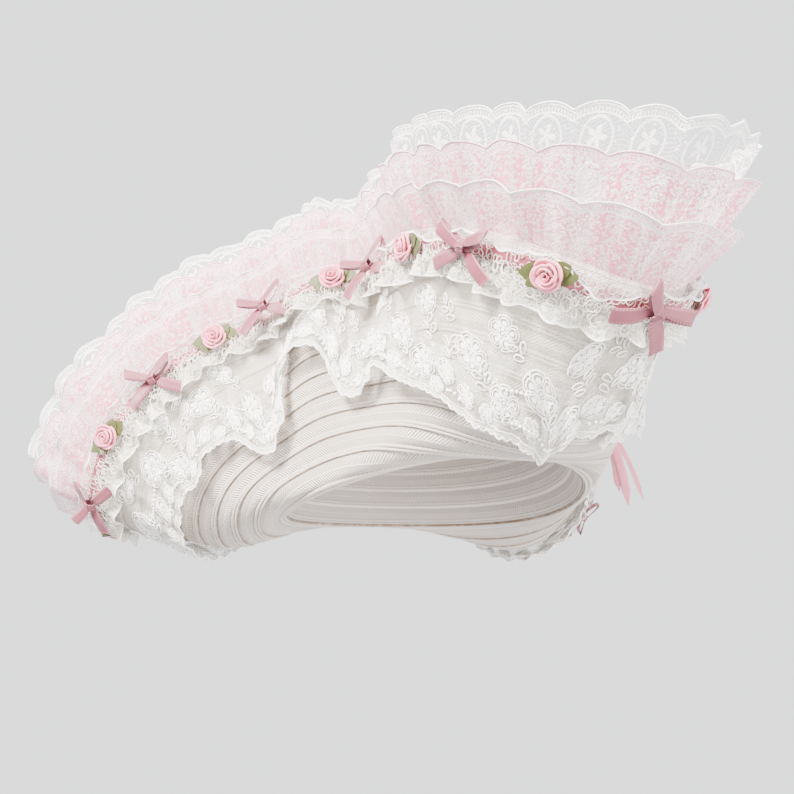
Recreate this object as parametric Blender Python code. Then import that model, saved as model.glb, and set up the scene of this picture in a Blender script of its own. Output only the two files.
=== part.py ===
# Tricorn hat of sewn straw with upstanding lace frills, ribbon roses and bows.
# Metres, +Z up, -Y is the front of the hat, +X the wearer's left.
# The origin is the middle of the head opening. Angles run round the hat from the
# front corner, and positive ones go toward the wearer's right.

import bmesh
import bpy
import numpy as np
from math import cos, radians, sin
from mathutils import Matrix, Vector
from mathutils.bvhtree import BVHTree

# Head opening and brim
OPENING_SIDE = 0.112  # half the opening from side to side
OPENING_FRONT = 0.118  # half the opening from front to back
OPENING_TILT = 0.0072  # how much the front of the opening sits lower than the back
OPENING_SADDLE = 0.0059  # how much the opening rises at the front and back
BRIM_WIDTH = 0.163  # along the straw from the opening to the rim
CORNER_EXTRA = 0.023  # the brim is this share wider at the corners
STRAW = 0.0026  # wall of the sewn straw
GAP = 0.0003  # clearance between touching pieces

# Turn-up of the brim, degrees above level
DIP_CORNER = -31.5  # the brim leaves the opening downward at the corners
DIP_FLAP = 0.4
RIM_FRONT = 31.2  # slope of the straw at the rim, front corner
RIM_BACK = 19.6  # back corners
RIM_FLAP = 89.1  # middle of a flap
SHOULDER = 30.2  # steepening between corner and flap
SKEW = 4.2  # the front half of a side flap is the steeper
CORNER_SHIFT = 6.1  # the side flaps sit this far back
TURN_CORNER = 0.0798  # length of straw over which the slope turns
TURN_FLAP = 0.012

# Crown, from the opening upward: height and share of the opening's width
CROWN_PROFILE = [
    {"height": 0.000, "share": 1.00},
    {"height": 0.024, "share": 0.92},
    {"height": 0.072, "share": 0.83},
    {"height": 0.100, "share": 0.70},
    {"height": 0.113, "share": 0.42},
]
CROWN_TOP = 0.117

# Upstanding frills: height of each, distance from the middle layer at its foot, and lean
LACE = 0.0010
FRILLS = [
    {"name": "tall_lace", "net": "white_net",
     "height": 0.076, "foot": -0.0016, "spread": -0.010, "rows": 3},
    {"name": "pink_lace", "net": "pink_net",
     "height": 0.058, "foot": 0.0000, "spread": 0.000, "rows": 2},
    {"name": "short_lace", "net": "pale_pink_net",
     "height": 0.0355, "foot": 0.0016, "spread": 0.007, "rows": 2},
]
FRILL_LEAN = [
    {"angle": 0, "lean": 28.5, "stretch": 1.25},
    {"angle": 20, "lean": 47.0, "stretch": 0.91},
    {"angle": 35, "lean": 78.0, "stretch": 0.95},
    {"angle": 60, "lean": 93.0, "stretch": 1.00},
    {"angle": 85, "lean": 85.0, "stretch": 1.00},
    {"angle": 105, "lean": 80.0, "stretch": 0.97},
    {"angle": 122, "lean": 37.0, "stretch": 0.94},
    {"angle": 140, "lean": 43.0, "stretch": 0.94},
    {"angle": 180, "lean": 70.0, "stretch": 0.94},
]
PLAN_SHARE = 0.35  # how far the frills follow the rim's own outward direction
FRILL_WAVE = 0.0035  # swing of the tallest frill's top
SCALLOP_DIP = 0.05  # share of its height, between two scallops
GATHER = 3  # columns to a wave of the frills and the ruffle

# Hanging lace: how far its hem drops from the rim and stands off the straw at each fold
LACE_FOLDS = [
    {"angle": -166, "drop": 0.095, "stand": 0.018},
    {"angle": -150, "drop": 0.112, "stand": 0.008},
    {"angle": -137, "drop": 0.085, "stand": 0.016},
    {"angle": -122, "drop": 0.105, "stand": 0.008},
    {"angle": -108, "drop": 0.085, "stand": 0.016},
    {"angle": -95, "drop": 0.110, "stand": 0.014},
    {"angle": -82, "drop": 0.080, "stand": 0.008},
    {"angle": -69, "drop": 0.110, "stand": 0.018},
    {"angle": -56, "drop": 0.078, "stand": 0.008},
    {"angle": -45, "drop": 0.100, "stand": 0.014},
    {"angle": -33, "drop": 0.085, "stand": 0.014},
    {"angle": -20, "drop": 0.112, "stand": 0.012},
    {"angle": -10, "drop": 0.084, "stand": 0.014},
    {"angle": 0, "drop": 0.092, "stand": 0.012},
    {"angle": 5, "drop": 0.126, "stand": 0.008},
    {"angle": 12, "drop": 0.112, "stand": 0.012},
    {"angle": 25, "drop": 0.100, "stand": 0.012},
    {"angle": 36, "drop": 0.084, "stand": 0.016},
    {"angle": 43, "drop": 0.104, "stand": 0.010},
    {"angle": 54, "drop": 0.101, "stand": 0.008},
    {"angle": 60, "drop": 0.064, "stand": 0.018},
    {"angle": 73, "drop": 0.058, "stand": 0.022},
    {"angle": 81, "drop": 0.124, "stand": 0.008},
    {"angle": 88, "drop": 0.112, "stand": 0.008},
    {"angle": 100, "drop": 0.083, "stand": 0.016},
    {"angle": 113, "drop": 0.090, "stand": 0.012},
    {"angle": 126, "drop": 0.094, "stand": 0.010},
    {"angle": 138, "drop": 0.112, "stand": 0.008},
    {"angle": 152, "drop": 0.085, "stand": 0.016},
    {"angle": 166, "drop": 0.110, "stand": 0.008},
    {"angle": 180, "drop": 0.095, "stand": 0.014},
]
LACE_TOP = 0.003  # below the rim
LACE_ROWS = [
    {"share": 0.00, "stand": 0.00},
    {"share": 0.33, "stand": 0.15},
    {"share": 0.66, "stand": 0.55},
    {"share": 1.00, "stand": 1.00},
]
RUFFLE_TOP = 0.012
RUFFLE_DROP = 0.026
RUFFLE_FLARE = 0.005
RUFFLE_TIP = 0.001  # added to the flare all round
TRIM_FROM, TRIM_TO = 0.015, 0.001  # the gimp's lower and upper edges, below the rim
TRIM = 0.0025
TRIM_SEAT = 0.0037  # inner face of the gimp above the middle of the hanging lace

# Roses, leaves and bows: one after another round the rim, bows on the corners
STATIONS = 32
STATION_DOWN = 0.008  # below the rim
LIFT = 0.0005  # an ornament's foot above its own origin
SEAT_STEP = 0.0002  # it is lowered to its seat in steps of this size
SEAT_STEPS = 50
ROSE_RINGS = [
    {"radius": 0.0055, "height": 0.0026},
    {"radius": 0.0095, "height": 0.0055},
    {"radius": 0.0085, "height": 0.0095},
    {"radius": 0.0040, "height": 0.0120},
]
ROSE_SIDES = 6
ROSE_TWIST = 25  # degrees from ring to ring
ROSE_HEART = 0.001  # depth of its middle
LEAF_OUTLINE = [
    {"along": 0.000, "half": 0.0022, "lift": 0.0000},
    {"along": 0.008, "half": 0.0045, "lift": 0.0008},
    {"along": 0.0165, "half": 0.0000, "lift": 0.0024},
]
LEAF = 0.0010
RIBBON = 0.0010
WIDTH_STEP = 0.03  # the right half of a bow is this share wider than the plain ribbon
BOW_RIBBON_WIDTH = 0.006
BOW_KNOT = {"width": 0.005, "tall": 0.0066, "deep": 0.0062}
BOW_LOOP = {"length": 0.017, "height": 0.0052}
BOW_TAIL = {"side": 0.0185, "down": 0.0135, "rise": 0.0028}
BOW_TAIL_FOOT = {"down": 0.0008, "rise": 0.0020}
BOW_TAIL_SHARE = 0.9  # a tail's width beside its loop's
LOOP_OUTLINE = [
    {"out": -0.06, "up": 0.30},
    {"out": 0.50, "up": 0.00},
    {"out": 1.00, "up": 0.38},
    {"out": 0.62, "up": 1.00},
    {"out": 0.00, "up": 0.70},
]
SIDE_RIBBON_WIDTH = 0.009
SIDE_KNOT = {"width": 0.008, "tall": 0.011, "deep": 0.010}
SIDE_LOOP = {"length": 0.030, "height": 0.009}
SIDE_BOW_ANGLE = -68
SIDE_BOW_DOWN = 0.085  # below the rim
SIDE_BEND = {"along": 0.35, "down": 0.50, "out": 0.008}  # where the tails bend, as shares of the way
SIDE_POINT = 0.2  # width left at a tail's cut end
SIDE_TAILS = [
    {"x": 0.1475, "y": -0.050, "z": -0.014, "width": 0.0090, "turn": -0.4},
    {"x": 0.1425, "y": -0.048, "z": -0.002, "width": 0.0110, "turn": -0.7},
    {"x": 0.1600, "y": -0.054, "z": -0.010, "width": 0.0060, "turn": -0.1},
]

FINISHES = [
    {"name": "straw", "colour": (0.90, 0.87, 0.83), "roughness": 0.55},
    {"name": "white_net", "colour": (0.93, 0.93, 0.92), "roughness": 0.75},
    {"name": "pink_net", "colour": (0.93, 0.78, 0.82), "roughness": 0.75},
    {"name": "pale_pink_net", "colour": (0.92, 0.82, 0.85), "roughness": 0.75},
    {"name": "gimp", "colour": (0.90, 0.80, 0.78), "roughness": 0.7},
    {"name": "rose_ribbon", "colour": (0.93, 0.62, 0.66), "roughness": 0.35},
    {"name": "leaf_ribbon", "colour": (0.42, 0.44, 0.22), "roughness": 0.35},
    {"name": "bow_ribbon", "colour": (0.74, 0.47, 0.52), "roughness": 0.35},
    {"name": "tail_ribbon", "colour": (0.92, 0.70, 0.74), "roughness": 0.35},
    {"name": "ruffle_net", "colour": (0.94, 0.93, 0.90), "roughness": 0.75},
    {"name": "embroidered_net", "colour": (0.94, 0.94, 0.92), "roughness": 0.7},
]

COLUMNS = 96
BRIM_ROWS = [0.0, 0.014, 0.045, 0.085, 1.0]  # metres along the straw, the last is the rim
FINE = 2880  # samples of the rim for its length
PROFILE_STEPS = 48


def clear_scene():
    for item in list(bpy.data.objects):
        bpy.data.objects.remove(item, do_unlink=True)


def make_finish(row):
    material = bpy.data.materials.new(row["name"])
    material.use_nodes = True
    shader = material.node_tree.nodes["Principled BSDF"]
    shader.inputs["Base Color"].default_value = (*row["colour"], 1.0)
    shader.inputs["Roughness"].default_value = row["roughness"]
    shader.inputs["Metallic"].default_value = 0.0
    return material


def ease(share):
    share = np.clip(share, 0.0, 1.0)
    return share * share * (3 - 2 * share)


def read_table(rows, column, degrees, full_turn=False):
    """Value of a column at these angles, eased from row to row."""
    if full_turn:
        first, last = rows[0], rows[-1]
        rows = [dict(last, angle=last["angle"] - 360)] + rows + [dict(first, angle=first["angle"] + 360)]
    else:
        degrees = np.abs(degrees)
    angles = np.array([row["angle"] for row in rows], float)
    values = np.array([row[column] for row in rows], float)
    at = np.clip(np.searchsorted(angles, degrees, side="right") - 1, 0, len(angles) - 2)
    share = ease((degrees - angles[at]) / (angles[at + 1] - angles[at]))
    return values[at] + (values[at + 1] - values[at]) * share


def unit(vectors):
    return vectors / np.linalg.norm(vectors, axis=-1, keepdims=True)


def brim_point(angle, along):
    """Middle of the straw wall at these angles (radians), this far from the opening."""
    shifted = angle - radians(CORNER_SHIFT) * np.sin(angle)
    flap = np.clip(0.5 * (1 - np.cos(3 * shifted)), 1e-9, 1)
    front = np.clip((np.cos(shifted) + 0.5) / 1.5, 0, 1)
    corner = RIM_BACK + (RIM_FRONT - RIM_BACK) * front
    rim = corner + (RIM_FLAP - corner) * flap**1.054 + SHOULDER * np.sin(3 * shifted) ** 2
    rim = np.radians(rim + SKEW * np.sin(3 * shifted) * np.sin(shifted))
    dip = np.radians(DIP_CORNER + (DIP_FLAP - DIP_CORNER) * flap**0.983)
    turn = TURN_CORNER + (TURN_FLAP - TURN_CORNER) * flap
    along = along * (1 + CORNER_EXTRA * np.cos(3 * shifted))
    steps = (np.arange(PROFILE_STEPS) + 0.5) / PROFILE_STEPS
    walked = along[..., None] * steps
    slope = dip[..., None] + (rim - dip)[..., None] * ease(walked / turn[..., None])
    start = 1 / np.sqrt((np.sin(angle) / OPENING_SIDE) ** 2 + (np.cos(angle) / OPENING_FRONT) ** 2)
    reach = start + along * np.cos(slope).mean(-1)
    rise = along * np.sin(slope).mean(-1) - OPENING_TILT * np.cos(angle) + OPENING_SADDLE * np.cos(2 * angle)
    return np.stack([-np.sin(angle) * reach, -np.cos(angle) * reach, rise], -1)


def brim_frame(angle, along):
    """Point, direction round the hat, direction to the rim and outward normal."""
    step = 1e-4
    point = brim_point(angle, along)
    round_hat = unit(brim_point(angle + step, along) - brim_point(angle - step, along))
    to_rim = unit(brim_point(angle, along + step) - brim_point(angle, np.maximum(along - step, 0)))
    return point, round_hat, to_rim, unit(np.cross(to_rim, round_hat))


def even_angles(count):
    """Angles that divide the rim's length evenly, the first at the front corner."""
    fine = np.linspace(0, 2 * np.pi, FINE + 1)
    rim = brim_point(fine, np.full(fine.shape, BRIM_WIDTH - STATION_DOWN))
    length = np.concatenate([[0], np.cumsum(np.linalg.norm(np.diff(rim, axis=0), axis=1))])
    return np.interp(np.arange(count) / count * length[-1], length, fine)


def signed_degrees(angle):
    return (np.degrees(angle) + 180) % 360 - 180


def grid_normals(grid):
    """Normals of a grid of rows by columns that closes on itself round the hat."""
    across = np.roll(grid, -1, axis=1) - np.roll(grid, 1, axis=1)
    down = np.gradient(grid, axis=0)
    return unit(np.cross(down, across))


def make_object(name, vertices, faces, material):
    mesh = bpy.data.meshes.new(name)
    mesh.from_pydata([tuple(v) for v in vertices], [], faces)
    work = bmesh.new()
    work.from_mesh(mesh)
    bmesh.ops.recalc_face_normals(work, faces=work.faces)
    work.to_mesh(mesh)
    work.free()
    mesh.materials.append(material)
    mesh.shade_smooth()
    mesh.set_sharp_from_angle(angle=radians(50))
    thing = bpy.data.objects.new(name, mesh)
    bpy.context.collection.objects.link(thing)
    return thing


def ring_wall(name, grid, normals, thickness, material, bulge=1):
    """A wall of cloth or straw round the hat, closed at its lower and upper edges.

    Both faces are cut along the same diagonals, and bulge picks those that lie further
    out (1) or further in (-1), so that neighbouring walls stay clear of each other.
    """
    rows, columns = grid.shape[:2]
    outer = (grid + normals * thickness / 2).reshape(-1, 3)
    inner = (grid - normals * thickness / 2).reshape(-1, 3)
    side = rows * columns
    faces = []
    for column in range(columns):
        after = (column + 1) % columns
        for row in range(rows - 1):
            a, b = row * columns + column, row * columns + after
            c, d = b + columns, a + columns
            middles = grid[row, column] + grid[row + 1, after] - grid[row, after] - grid[row + 1, column]
            falling = np.dot(middles, normals[row, column]) * bulge > 0
            halves = [(a, b, c), (a, c, d)] if falling else [(a, b, d), (b, c, d)]
            faces += halves
            faces += [(side + z, side + y, side + x) for x, y, z in halves]
        last = (rows - 1) * columns
        faces.append((column, after, side + after, side + column))
        faces.append((last + column, last + after, side + last + after, side + last + column))
    return make_object(name, np.concatenate([outer, inner]), faces, material)


def opening_edge(angle):
    """Edge where crown and brim meet, and the outward normal that they share there."""
    point, round_hat, to_rim, brim_normal = brim_frame(angle, np.zeros(angle.shape))
    upward = unit(crown_point(angle, 1) - point)
    side = unit(np.cross(upward, round_hat))
    crown_normal = side * np.sign((side * brim_normal).sum(-1))[:, None]
    return point, to_rim, upward, unit(brim_normal + crown_normal)


def crown_point(angle, row):
    profile = CROWN_PROFILE[row]
    edge = brim_point(angle, np.zeros(angle.shape))
    left = 1 - profile["height"] / CROWN_TOP
    return np.stack([edge[:, 0] * profile["share"], edge[:, 1] * profile["share"],
                     edge[:, 2] * left + profile["height"]], -1)


def make_brim(angles, material):
    rows = []
    normals = []
    for along in BRIM_ROWS:
        length = np.full(angles.shape, min(along, BRIM_WIDTH))
        point, _, _, normal = brim_frame(angles, length)
        rows.append(point)
        normals.append(normal)
    point, to_rim, _, shared = opening_edge(angles)
    rows[0] = point + to_rim * GAP
    normals[0] = shared
    return ring_wall("brim", np.array(rows), np.array(normals), STRAW, material, bulge=-1)


def make_crown(angles, material):
    """The crown's wall: every column at the opening, every second one above it."""
    point, _, upward, shared = opening_edge(angles)
    upper = np.array([crown_point(angles[::2], row) for row in range(1, len(CROWN_PROFILE))])
    normals = grid_normals(np.concatenate([point[None, ::2], upper]))[1:]
    if (normals[1] * upper[1])[:, :2].sum() > 0:
        normals = -normals  # toward the head, as the brim's point down and out
    edge = point + upward * GAP
    columns, half = len(angles), len(angles) // 2
    vertices = []
    for turn in (0.5, -0.5):
        vertices += list(edge + shared * STRAW * turn)
        vertices += list((upper + normals * STRAW * turn).reshape(-1, 3))
        vertices.append((0, 0, CROWN_TOP - STRAW * turn))
    side = len(vertices) // 2
    faces = []
    for column in range(half):
        after = (column + 1) % half
        low, middle, high = 2 * column, 2 * column + 1, (2 * column + 2) % columns
        here, there = columns + column, columns + after
        halves = [(low, middle, here), (middle, high, there), (middle, there, here)]
        for row in range(len(upper) - 1):
            a, b = here + row * half, there + row * half
            halves += [(a, b, b + half), (a, b + half, a + half)]
        last = (len(upper) - 1) * half
        halves.append((here + last, there + last, side - 1))
        faces += halves
        faces += [(side + z, side + y, side + x) for x, y, z in halves]
        faces.append((low, middle, side + middle, side + low))
        faces.append((middle, high, side + high, side + middle))
    return make_object("crown", vertices, faces, material)


def frill_frame(angles):
    """Foot of the frills on the rim's edge, their upward direction and outward normal."""
    rim, round_hat, to_rim, _ = brim_frame(angles, np.full(angles.shape, BRIM_WIDTH))
    level = round_hat.copy()
    level[:, 2] = 0
    level = unit(level)
    square = np.stack([-level[:, 1], level[:, 0], np.zeros(len(angles))], -1)
    radial = np.stack([-np.sin(angles), -np.cos(angles), np.zeros(len(angles))], -1)
    square *= np.sign((square * radial).sum(-1))[:, None]
    outward = unit(radial * (1 - PLAN_SHARE) + square * PLAN_SHARE)
    lean = np.radians(read_table(FRILL_LEAN, "lean", signed_degrees(angles)))[:, None]
    upward = outward * np.cos(lean) + np.array([0, 0, 1]) * np.sin(lean)
    normal = unit(np.cross(upward, round_hat))
    widest = max(abs(frill["foot"]) for frill in FRILLS) + LACE / 2
    clear = GAP + LACE / 4 + widest * np.abs((normal * to_rim).sum(-1))
    foot = rim + to_rim * clear[:, None]
    return foot, upward, normal


def make_frill(frill, angles, material):
    foot, upward, normal = frill_frame(angles)
    stretch = read_table(FRILL_LEAN, "stretch", signed_degrees(angles))
    column = np.arange(len(angles))
    wave = FRILL_WAVE * np.sin(column * 2 * np.pi / GATHER)
    scallop = 1 - SCALLOP_DIP * (column % 2)
    rows = []
    for row in range(frill["rows"]):
        up = row / (frill["rows"] - 1)
        tall = frill["height"] * up * stretch * (scallop if up == 1 else 1)
        out = frill["foot"] + up * (wave * frill["height"] / FRILLS[0]["height"] + frill["spread"])
        rows.append(foot + upward * tall[:, None] + normal * out[:, None])
    grid = np.array(rows)
    return ring_wall(frill["name"], grid, grid_normals(grid), LACE, material)


def lace_standoff(angles, below_rim):
    """Distance from the middle of the straw to the middle of the hanging lace."""
    degrees = signed_degrees(angles)
    drop = read_table(LACE_FOLDS, "drop", degrees, full_turn=True)
    stand = read_table(LACE_FOLDS, "stand", degrees, full_turn=True)
    share = (below_rim - LACE_TOP) / (drop - LACE_TOP)
    shares = [row["share"] for row in LACE_ROWS]
    stands = [row["stand"] for row in LACE_ROWS]
    return STRAW / 2 + GAP + LACE / 2 + stand * np.interp(share, shares, stands)


def make_wide_lace(angles, material):
    drop = read_table(LACE_FOLDS, "drop", signed_degrees(angles), full_turn=True)
    rows = []
    for row in LACE_ROWS:
        below = LACE_TOP + (drop - LACE_TOP) * row["share"]
        point, _, _, normal = brim_frame(angles, BRIM_WIDTH - below)
        rows.append(point + normal * lace_standoff(angles, below)[:, None])
    grid = np.array(rows)
    return ring_wall("wide_lace", grid, grid_normals(grid), LACE, material)


def make_ruffle(angles, material):
    wave = 0.5 + 0.5 * np.cos(np.arange(len(angles)) * 2 * np.pi / GATHER)
    rows = []
    for share in (0, 1):
        below = np.full(angles.shape, RUFFLE_TOP + (RUFFLE_DROP - RUFFLE_TOP) * share)
        point, _, _, normal = brim_frame(angles, BRIM_WIDTH - below)
        out = lace_standoff(angles, below) + LACE + GAP + share * (RUFFLE_FLARE * wave + RUFFLE_TIP)
        rows.append(point + normal * out[:, None])
    grid = np.array(rows)
    return ring_wall("rim_ruffle", grid, grid_normals(grid), LACE, material)


def trim_grid(angles):
    """Middle of the gimp, row by row, and its normals."""
    rows = []
    for below in (TRIM_FROM, TRIM_TO):
        edge = np.full(angles.shape, below)
        point, _, _, normal = brim_frame(angles, BRIM_WIDTH - edge)
        lift = lace_standoff(angles, edge) + TRIM_SEAT + TRIM / 2
        rows.append(point + normal * lift[:, None])
    grid = np.array(rows)
    return grid, grid_normals(grid)


def make_trim(angles, material):
    grid, normals = trim_grid(angles)
    return ring_wall("rim_trim", grid, normals, TRIM, material)


def station_matrix(grid, normals, column):
    """Place on the gimp: X along the rim, Y to the rim, Z out of the hat."""
    face = grid + normals * TRIM / 2
    out = Vector(unit(normals[0, column] + normals[1, column]))
    up = Vector(face[1, column] - face[0, column])
    up = (up - out * up.dot(out)).normalized()
    side = up.cross(out)
    place = Vector(face[:, column].mean(axis=0))
    matrix = Matrix((side, up, out)).transposed().to_4x4()
    matrix.translation = place
    return matrix


def make_rose_mesh(material):
    vertices = [(0, 0, ROSE_RINGS[0]["height"])]
    for number, ring in enumerate(ROSE_RINGS):
        for side in range(ROSE_SIDES):
            turn = radians(side * 360 / ROSE_SIDES + number * ROSE_TWIST)
            vertices.append((ring["radius"] * cos(turn), ring["radius"] * sin(turn), ring["height"]))
    vertices.append((0, 0, ROSE_RINGS[-1]["height"] - ROSE_HEART))
    faces = []
    top = len(vertices) - 1
    for side in range(ROSE_SIDES):
        after = (side + 1) % ROSE_SIDES
        faces.append([0, 1 + after, 1 + side])
        for ring in range(len(ROSE_RINGS) - 1):
            low, high = 1 + ring * ROSE_SIDES, 1 + (ring + 1) * ROSE_SIDES
            faces.append([low + side, low + after, high + after, high + side])
        last = 1 + (len(ROSE_RINGS) - 1) * ROSE_SIDES
        faces.append([last + side, last + after, top])
    return make_object("rose", vertices, faces, material)


def make_leaf_mesh(material):
    """Two pointed leaves of one folded ribbon, their tips lifted off the gimp."""
    edge = [(-row["along"], row["half"], row["lift"]) for row in reversed(LEAF_OUTLINE)]
    edge += [(row["along"], row["half"], row["lift"]) for row in LEAF_OUTLINE[1:]]
    back = [(x, -half, lift) for x, half, lift in reversed(edge[1:-1])]
    outline = edge + back
    count = len(outline)
    vertices = [(x, y, LIFT + z) for x, y, z in outline] + [(x, y, LIFT + z + LEAF) for x, y, z in outline]
    strips = [[0, 1, 7], [1, 2, 6, 7], [2, 3, 5, 6], [3, 4, 5]]
    faces = [list(reversed(strip)) for strip in strips]
    faces += [[corner + count for corner in strip] for strip in strips]
    for corner in range(count):
        after = (corner + 1) % count
        faces.append([corner, after, after + count, corner + count])
    return make_object("leaves", vertices, faces, material)


def strip_mesh(path, across, width, point_share=1.0):
    """A ribbon along a path: across is its width's direction, point_share the width left at its end."""
    path = [Vector(point) for point in path]
    across = Vector(across).normalized()
    work = bmesh.new()
    rings = []
    for index, point in enumerate(path):
        ahead = path[min(index + 1, len(path) - 1)] - path[max(index - 1, 0)]
        thick = across.cross(ahead).normalized() * RIBBON / 2
        half = across * width / 2
        if index == len(path) - 1:
            half = half * point_share
        corners = (point + half + thick, point - half + thick, point - half - thick, point + half - thick)
        rings.append([work.verts.new(corner) for corner in corners])
    for here, there in zip(rings, rings[1:]):
        for corner in range(4):
            after = (corner + 1) % 4
            work.faces.new((here[corner], here[after], there[after], there[corner]))
    work.faces.new(reversed(rings[0]))
    work.faces.new(rings[-1])
    bmesh.ops.recalc_face_normals(work, faces=work.faces)
    mesh = bpy.data.meshes.new("strip")
    work.to_mesh(mesh)
    work.free()
    return mesh


def joined_mesh(name, meshes, material):
    """One body from overlapping pieces of ribbon."""
    pieces = []
    for mesh in meshes:
        piece = bpy.data.objects.new("piece", mesh)
        bpy.context.collection.objects.link(piece)
        pieces.append(piece)
    for piece in pieces[1:]:
        union = pieces[0].modifiers.new("join", "BOOLEAN")
        union.operation = "UNION"
        union.solver = "EXACT"
        union.object = piece
    graph = bpy.context.evaluated_depsgraph_get()
    mesh = bpy.data.meshes.new_from_object(pieces[0].evaluated_get(graph))
    for piece in pieces:
        bpy.data.objects.remove(piece, do_unlink=True)
    mesh.name = name
    mesh.materials.clear()
    mesh.materials.append(material)
    return mesh


def loop_mesh(size, width, side, foot):
    """One loop of a bow: the rounded outline seen along the ribbon's width, made solid."""
    count = len(LOOP_OUTLINE)
    vertices = []
    for edge in (-width / 2, width / 2):
        for row in LOOP_OUTLINE:
            vertices.append((side * size["length"] * row["out"], edge, foot + size["height"] * row["up"]))
    faces = [list(range(count)), list(range(2 * count - 1, count - 1, -1))]
    for corner in range(count):
        after = (corner + 1) % count
        faces.append([after, corner, corner + count, after + count])
    mesh = bpy.data.meshes.new("loop")
    mesh.from_pydata(vertices, [], faces)
    work = bmesh.new()
    work.from_mesh(mesh)
    bmesh.ops.recalc_face_normals(work, faces=work.faces)
    work.to_mesh(mesh)
    work.free()
    return mesh


def knot_mesh(size, foot):
    mesh = bpy.data.meshes.new("knot")
    work = bmesh.new()
    bmesh.ops.create_cube(work, size=1.0)
    for vertex in work.verts:
        x, y, z = vertex.co
        vertex.co = (x * size["width"], y * size["tall"], foot + (z + 0.5) * size["deep"])
    work.to_mesh(mesh)
    work.free()
    return mesh


def half_widths(width):
    """Side and ribbon width of a bow's two halves."""
    return (-1, width * (1 - WIDTH_STEP)), (1, width * (1 + WIDTH_STEP))


def make_bow_mesh(material):
    pieces = [knot_mesh(BOW_KNOT, LIFT)]
    for side, wide in half_widths(BOW_RIBBON_WIDTH):
        pieces.append(loop_mesh(BOW_LOOP, wide, side, LIFT + RIBBON / 2))
        foot = Vector((0, -BOW_TAIL_FOOT["down"], BOW_TAIL_FOOT["rise"] + side * RIBBON / 4))
        end = Vector((side * BOW_TAIL["side"], -BOW_TAIL["down"], BOW_TAIL["rise"]))
        across = Vector((0, 0, 1)).cross(end - foot)
        pieces.append(strip_mesh([foot, end], across, wide * BOW_TAIL_SHARE))
    return joined_mesh("bow", pieces, material)


def side_bow_place():
    """Place of the side bow's knot on the hanging lace: Y upward, Z out of the hat."""
    angle = np.array([radians(SIDE_BOW_ANGLE)])
    below = np.array([SIDE_BOW_DOWN])
    point, _, _, normal = brim_frame(angle, BRIM_WIDTH - below)
    out = Vector(normal[0])
    up = Vector((0, 0, 1))
    up = (up - out * up.dot(out)).normalized()
    place = Matrix((up.cross(out), up, out)).transposed().to_4x4()
    place.translation = Vector(point[0]) + out * (lace_standoff(angle, below)[0] + LACE / 2)
    return place


def make_side_bow(material, ground):
    """Bow on the hidden side flap, whose long tails swing clear of the hat."""
    place = side_bow_place()
    inward = place.inverted()
    knot = place.translation
    pieces = [knot_mesh(SIDE_KNOT, 0)]
    for side, wide in half_widths(SIDE_RIBBON_WIDTH):
        pieces.append(loop_mesh(SIDE_LOOP, wide, side, RIBBON / 2))
    start = Vector((0, 0, SIDE_KNOT["deep"] / 2))
    for tail in SIDE_TAILS:
        end = Vector((tail["x"], tail["y"], tail["z"]))
        bend = knot.lerp(end, SIDE_BEND["along"])
        bend.x += SIDE_BEND["out"]
        bend.z = knot.z + (end.z - knot.z) * SIDE_BEND["down"]
        across = inward.to_3x3() @ Vector((cos(tail["turn"]), sin(tail["turn"]), 0))
        pieces.append(strip_mesh([start, inward @ bend, inward @ end], across, tail["width"], SIDE_POINT))
    mesh = joined_mesh("side_bow", pieces, material)
    thing = bpy.data.objects.new("side_bow", mesh)
    thing.matrix_world = seated(mesh, place, ground)
    bpy.context.collection.objects.link(thing)


def tree_of(things):
    """Search tree over the faces of some pieces, in world coordinates."""
    vertices = []
    faces = []
    for matrix, mesh in things:
        start = len(vertices)
        vertices += [matrix @ vertex.co for vertex in mesh.vertices]
        faces += [[start + corner for corner in face.vertices] for face in mesh.polygons]
    return BVHTree.FromPolygons(vertices, faces)


def seated(mesh, matrix, ground):
    """The place, moved along its own Z until the mesh is a gap clear of the ground."""
    out = matrix.to_3x3().col[2].normalized()
    for step in range(SEAT_STEPS, -SEAT_STEPS, -1):
        shifted = Matrix.Translation(out * step * SEAT_STEP) @ matrix
        if tree_of([(shifted, mesh)]).overlap(ground):
            return Matrix.Translation(out * (SEAT_STEP + GAP)) @ shifted
    return matrix


def place_copies(name, mesh, matrices):
    for number, matrix in enumerate(matrices, start=1):
        copy = bpy.data.objects.new(f"{name}_{number:02d}", mesh)
        copy.matrix_world = matrix
        bpy.context.collection.objects.link(copy)


def main():
    clear_scene()
    finishes = {row["name"]: make_finish(row) for row in FINISHES}
    angles = even_angles(COLUMNS)
    make_brim(angles, finishes["straw"])
    make_crown(angles, finishes["straw"])
    for frill in FRILLS:
        make_frill(frill, angles, finishes[frill["net"]])
    hanging = make_wide_lace(angles, finishes["embroidered_net"])
    ruffle = make_ruffle(angles, finishes["ruffle_net"])
    trim = make_trim(angles, finishes["gimp"])
    make_side_bow(finishes["tail_ribbon"], tree_of([(Matrix(), hanging.data)]))

    ground = tree_of([(Matrix(), trim.data), (Matrix(), ruffle.data)])
    grid, normals = trim_grid(angles)
    stations = [station_matrix(grid, normals, k * COLUMNS // STATIONS) for k in range(STATIONS)]
    bow = make_bow_mesh(finishes["bow_ribbon"])
    rose = make_rose_mesh(finishes["rose_ribbon"])
    leaves = make_leaf_mesh(finishes["leaf_ribbon"])
    place_copies("bow", bow, [seated(bow, place, ground) for place in stations[::2]])
    rose_places = [seated(leaves.data, place, ground) for place in stations[1::2]]
    place_copies("rose", rose.data, rose_places)
    place_copies("leaves", leaves.data, rose_places)
    bpy.data.objects.remove(rose, do_unlink=True)
    bpy.data.objects.remove(leaves, do_unlink=True)


main()
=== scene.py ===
import bpy
import numpy as np
from math import cos, pi, radians, sin
from mathutils import Matrix, Vector


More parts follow.
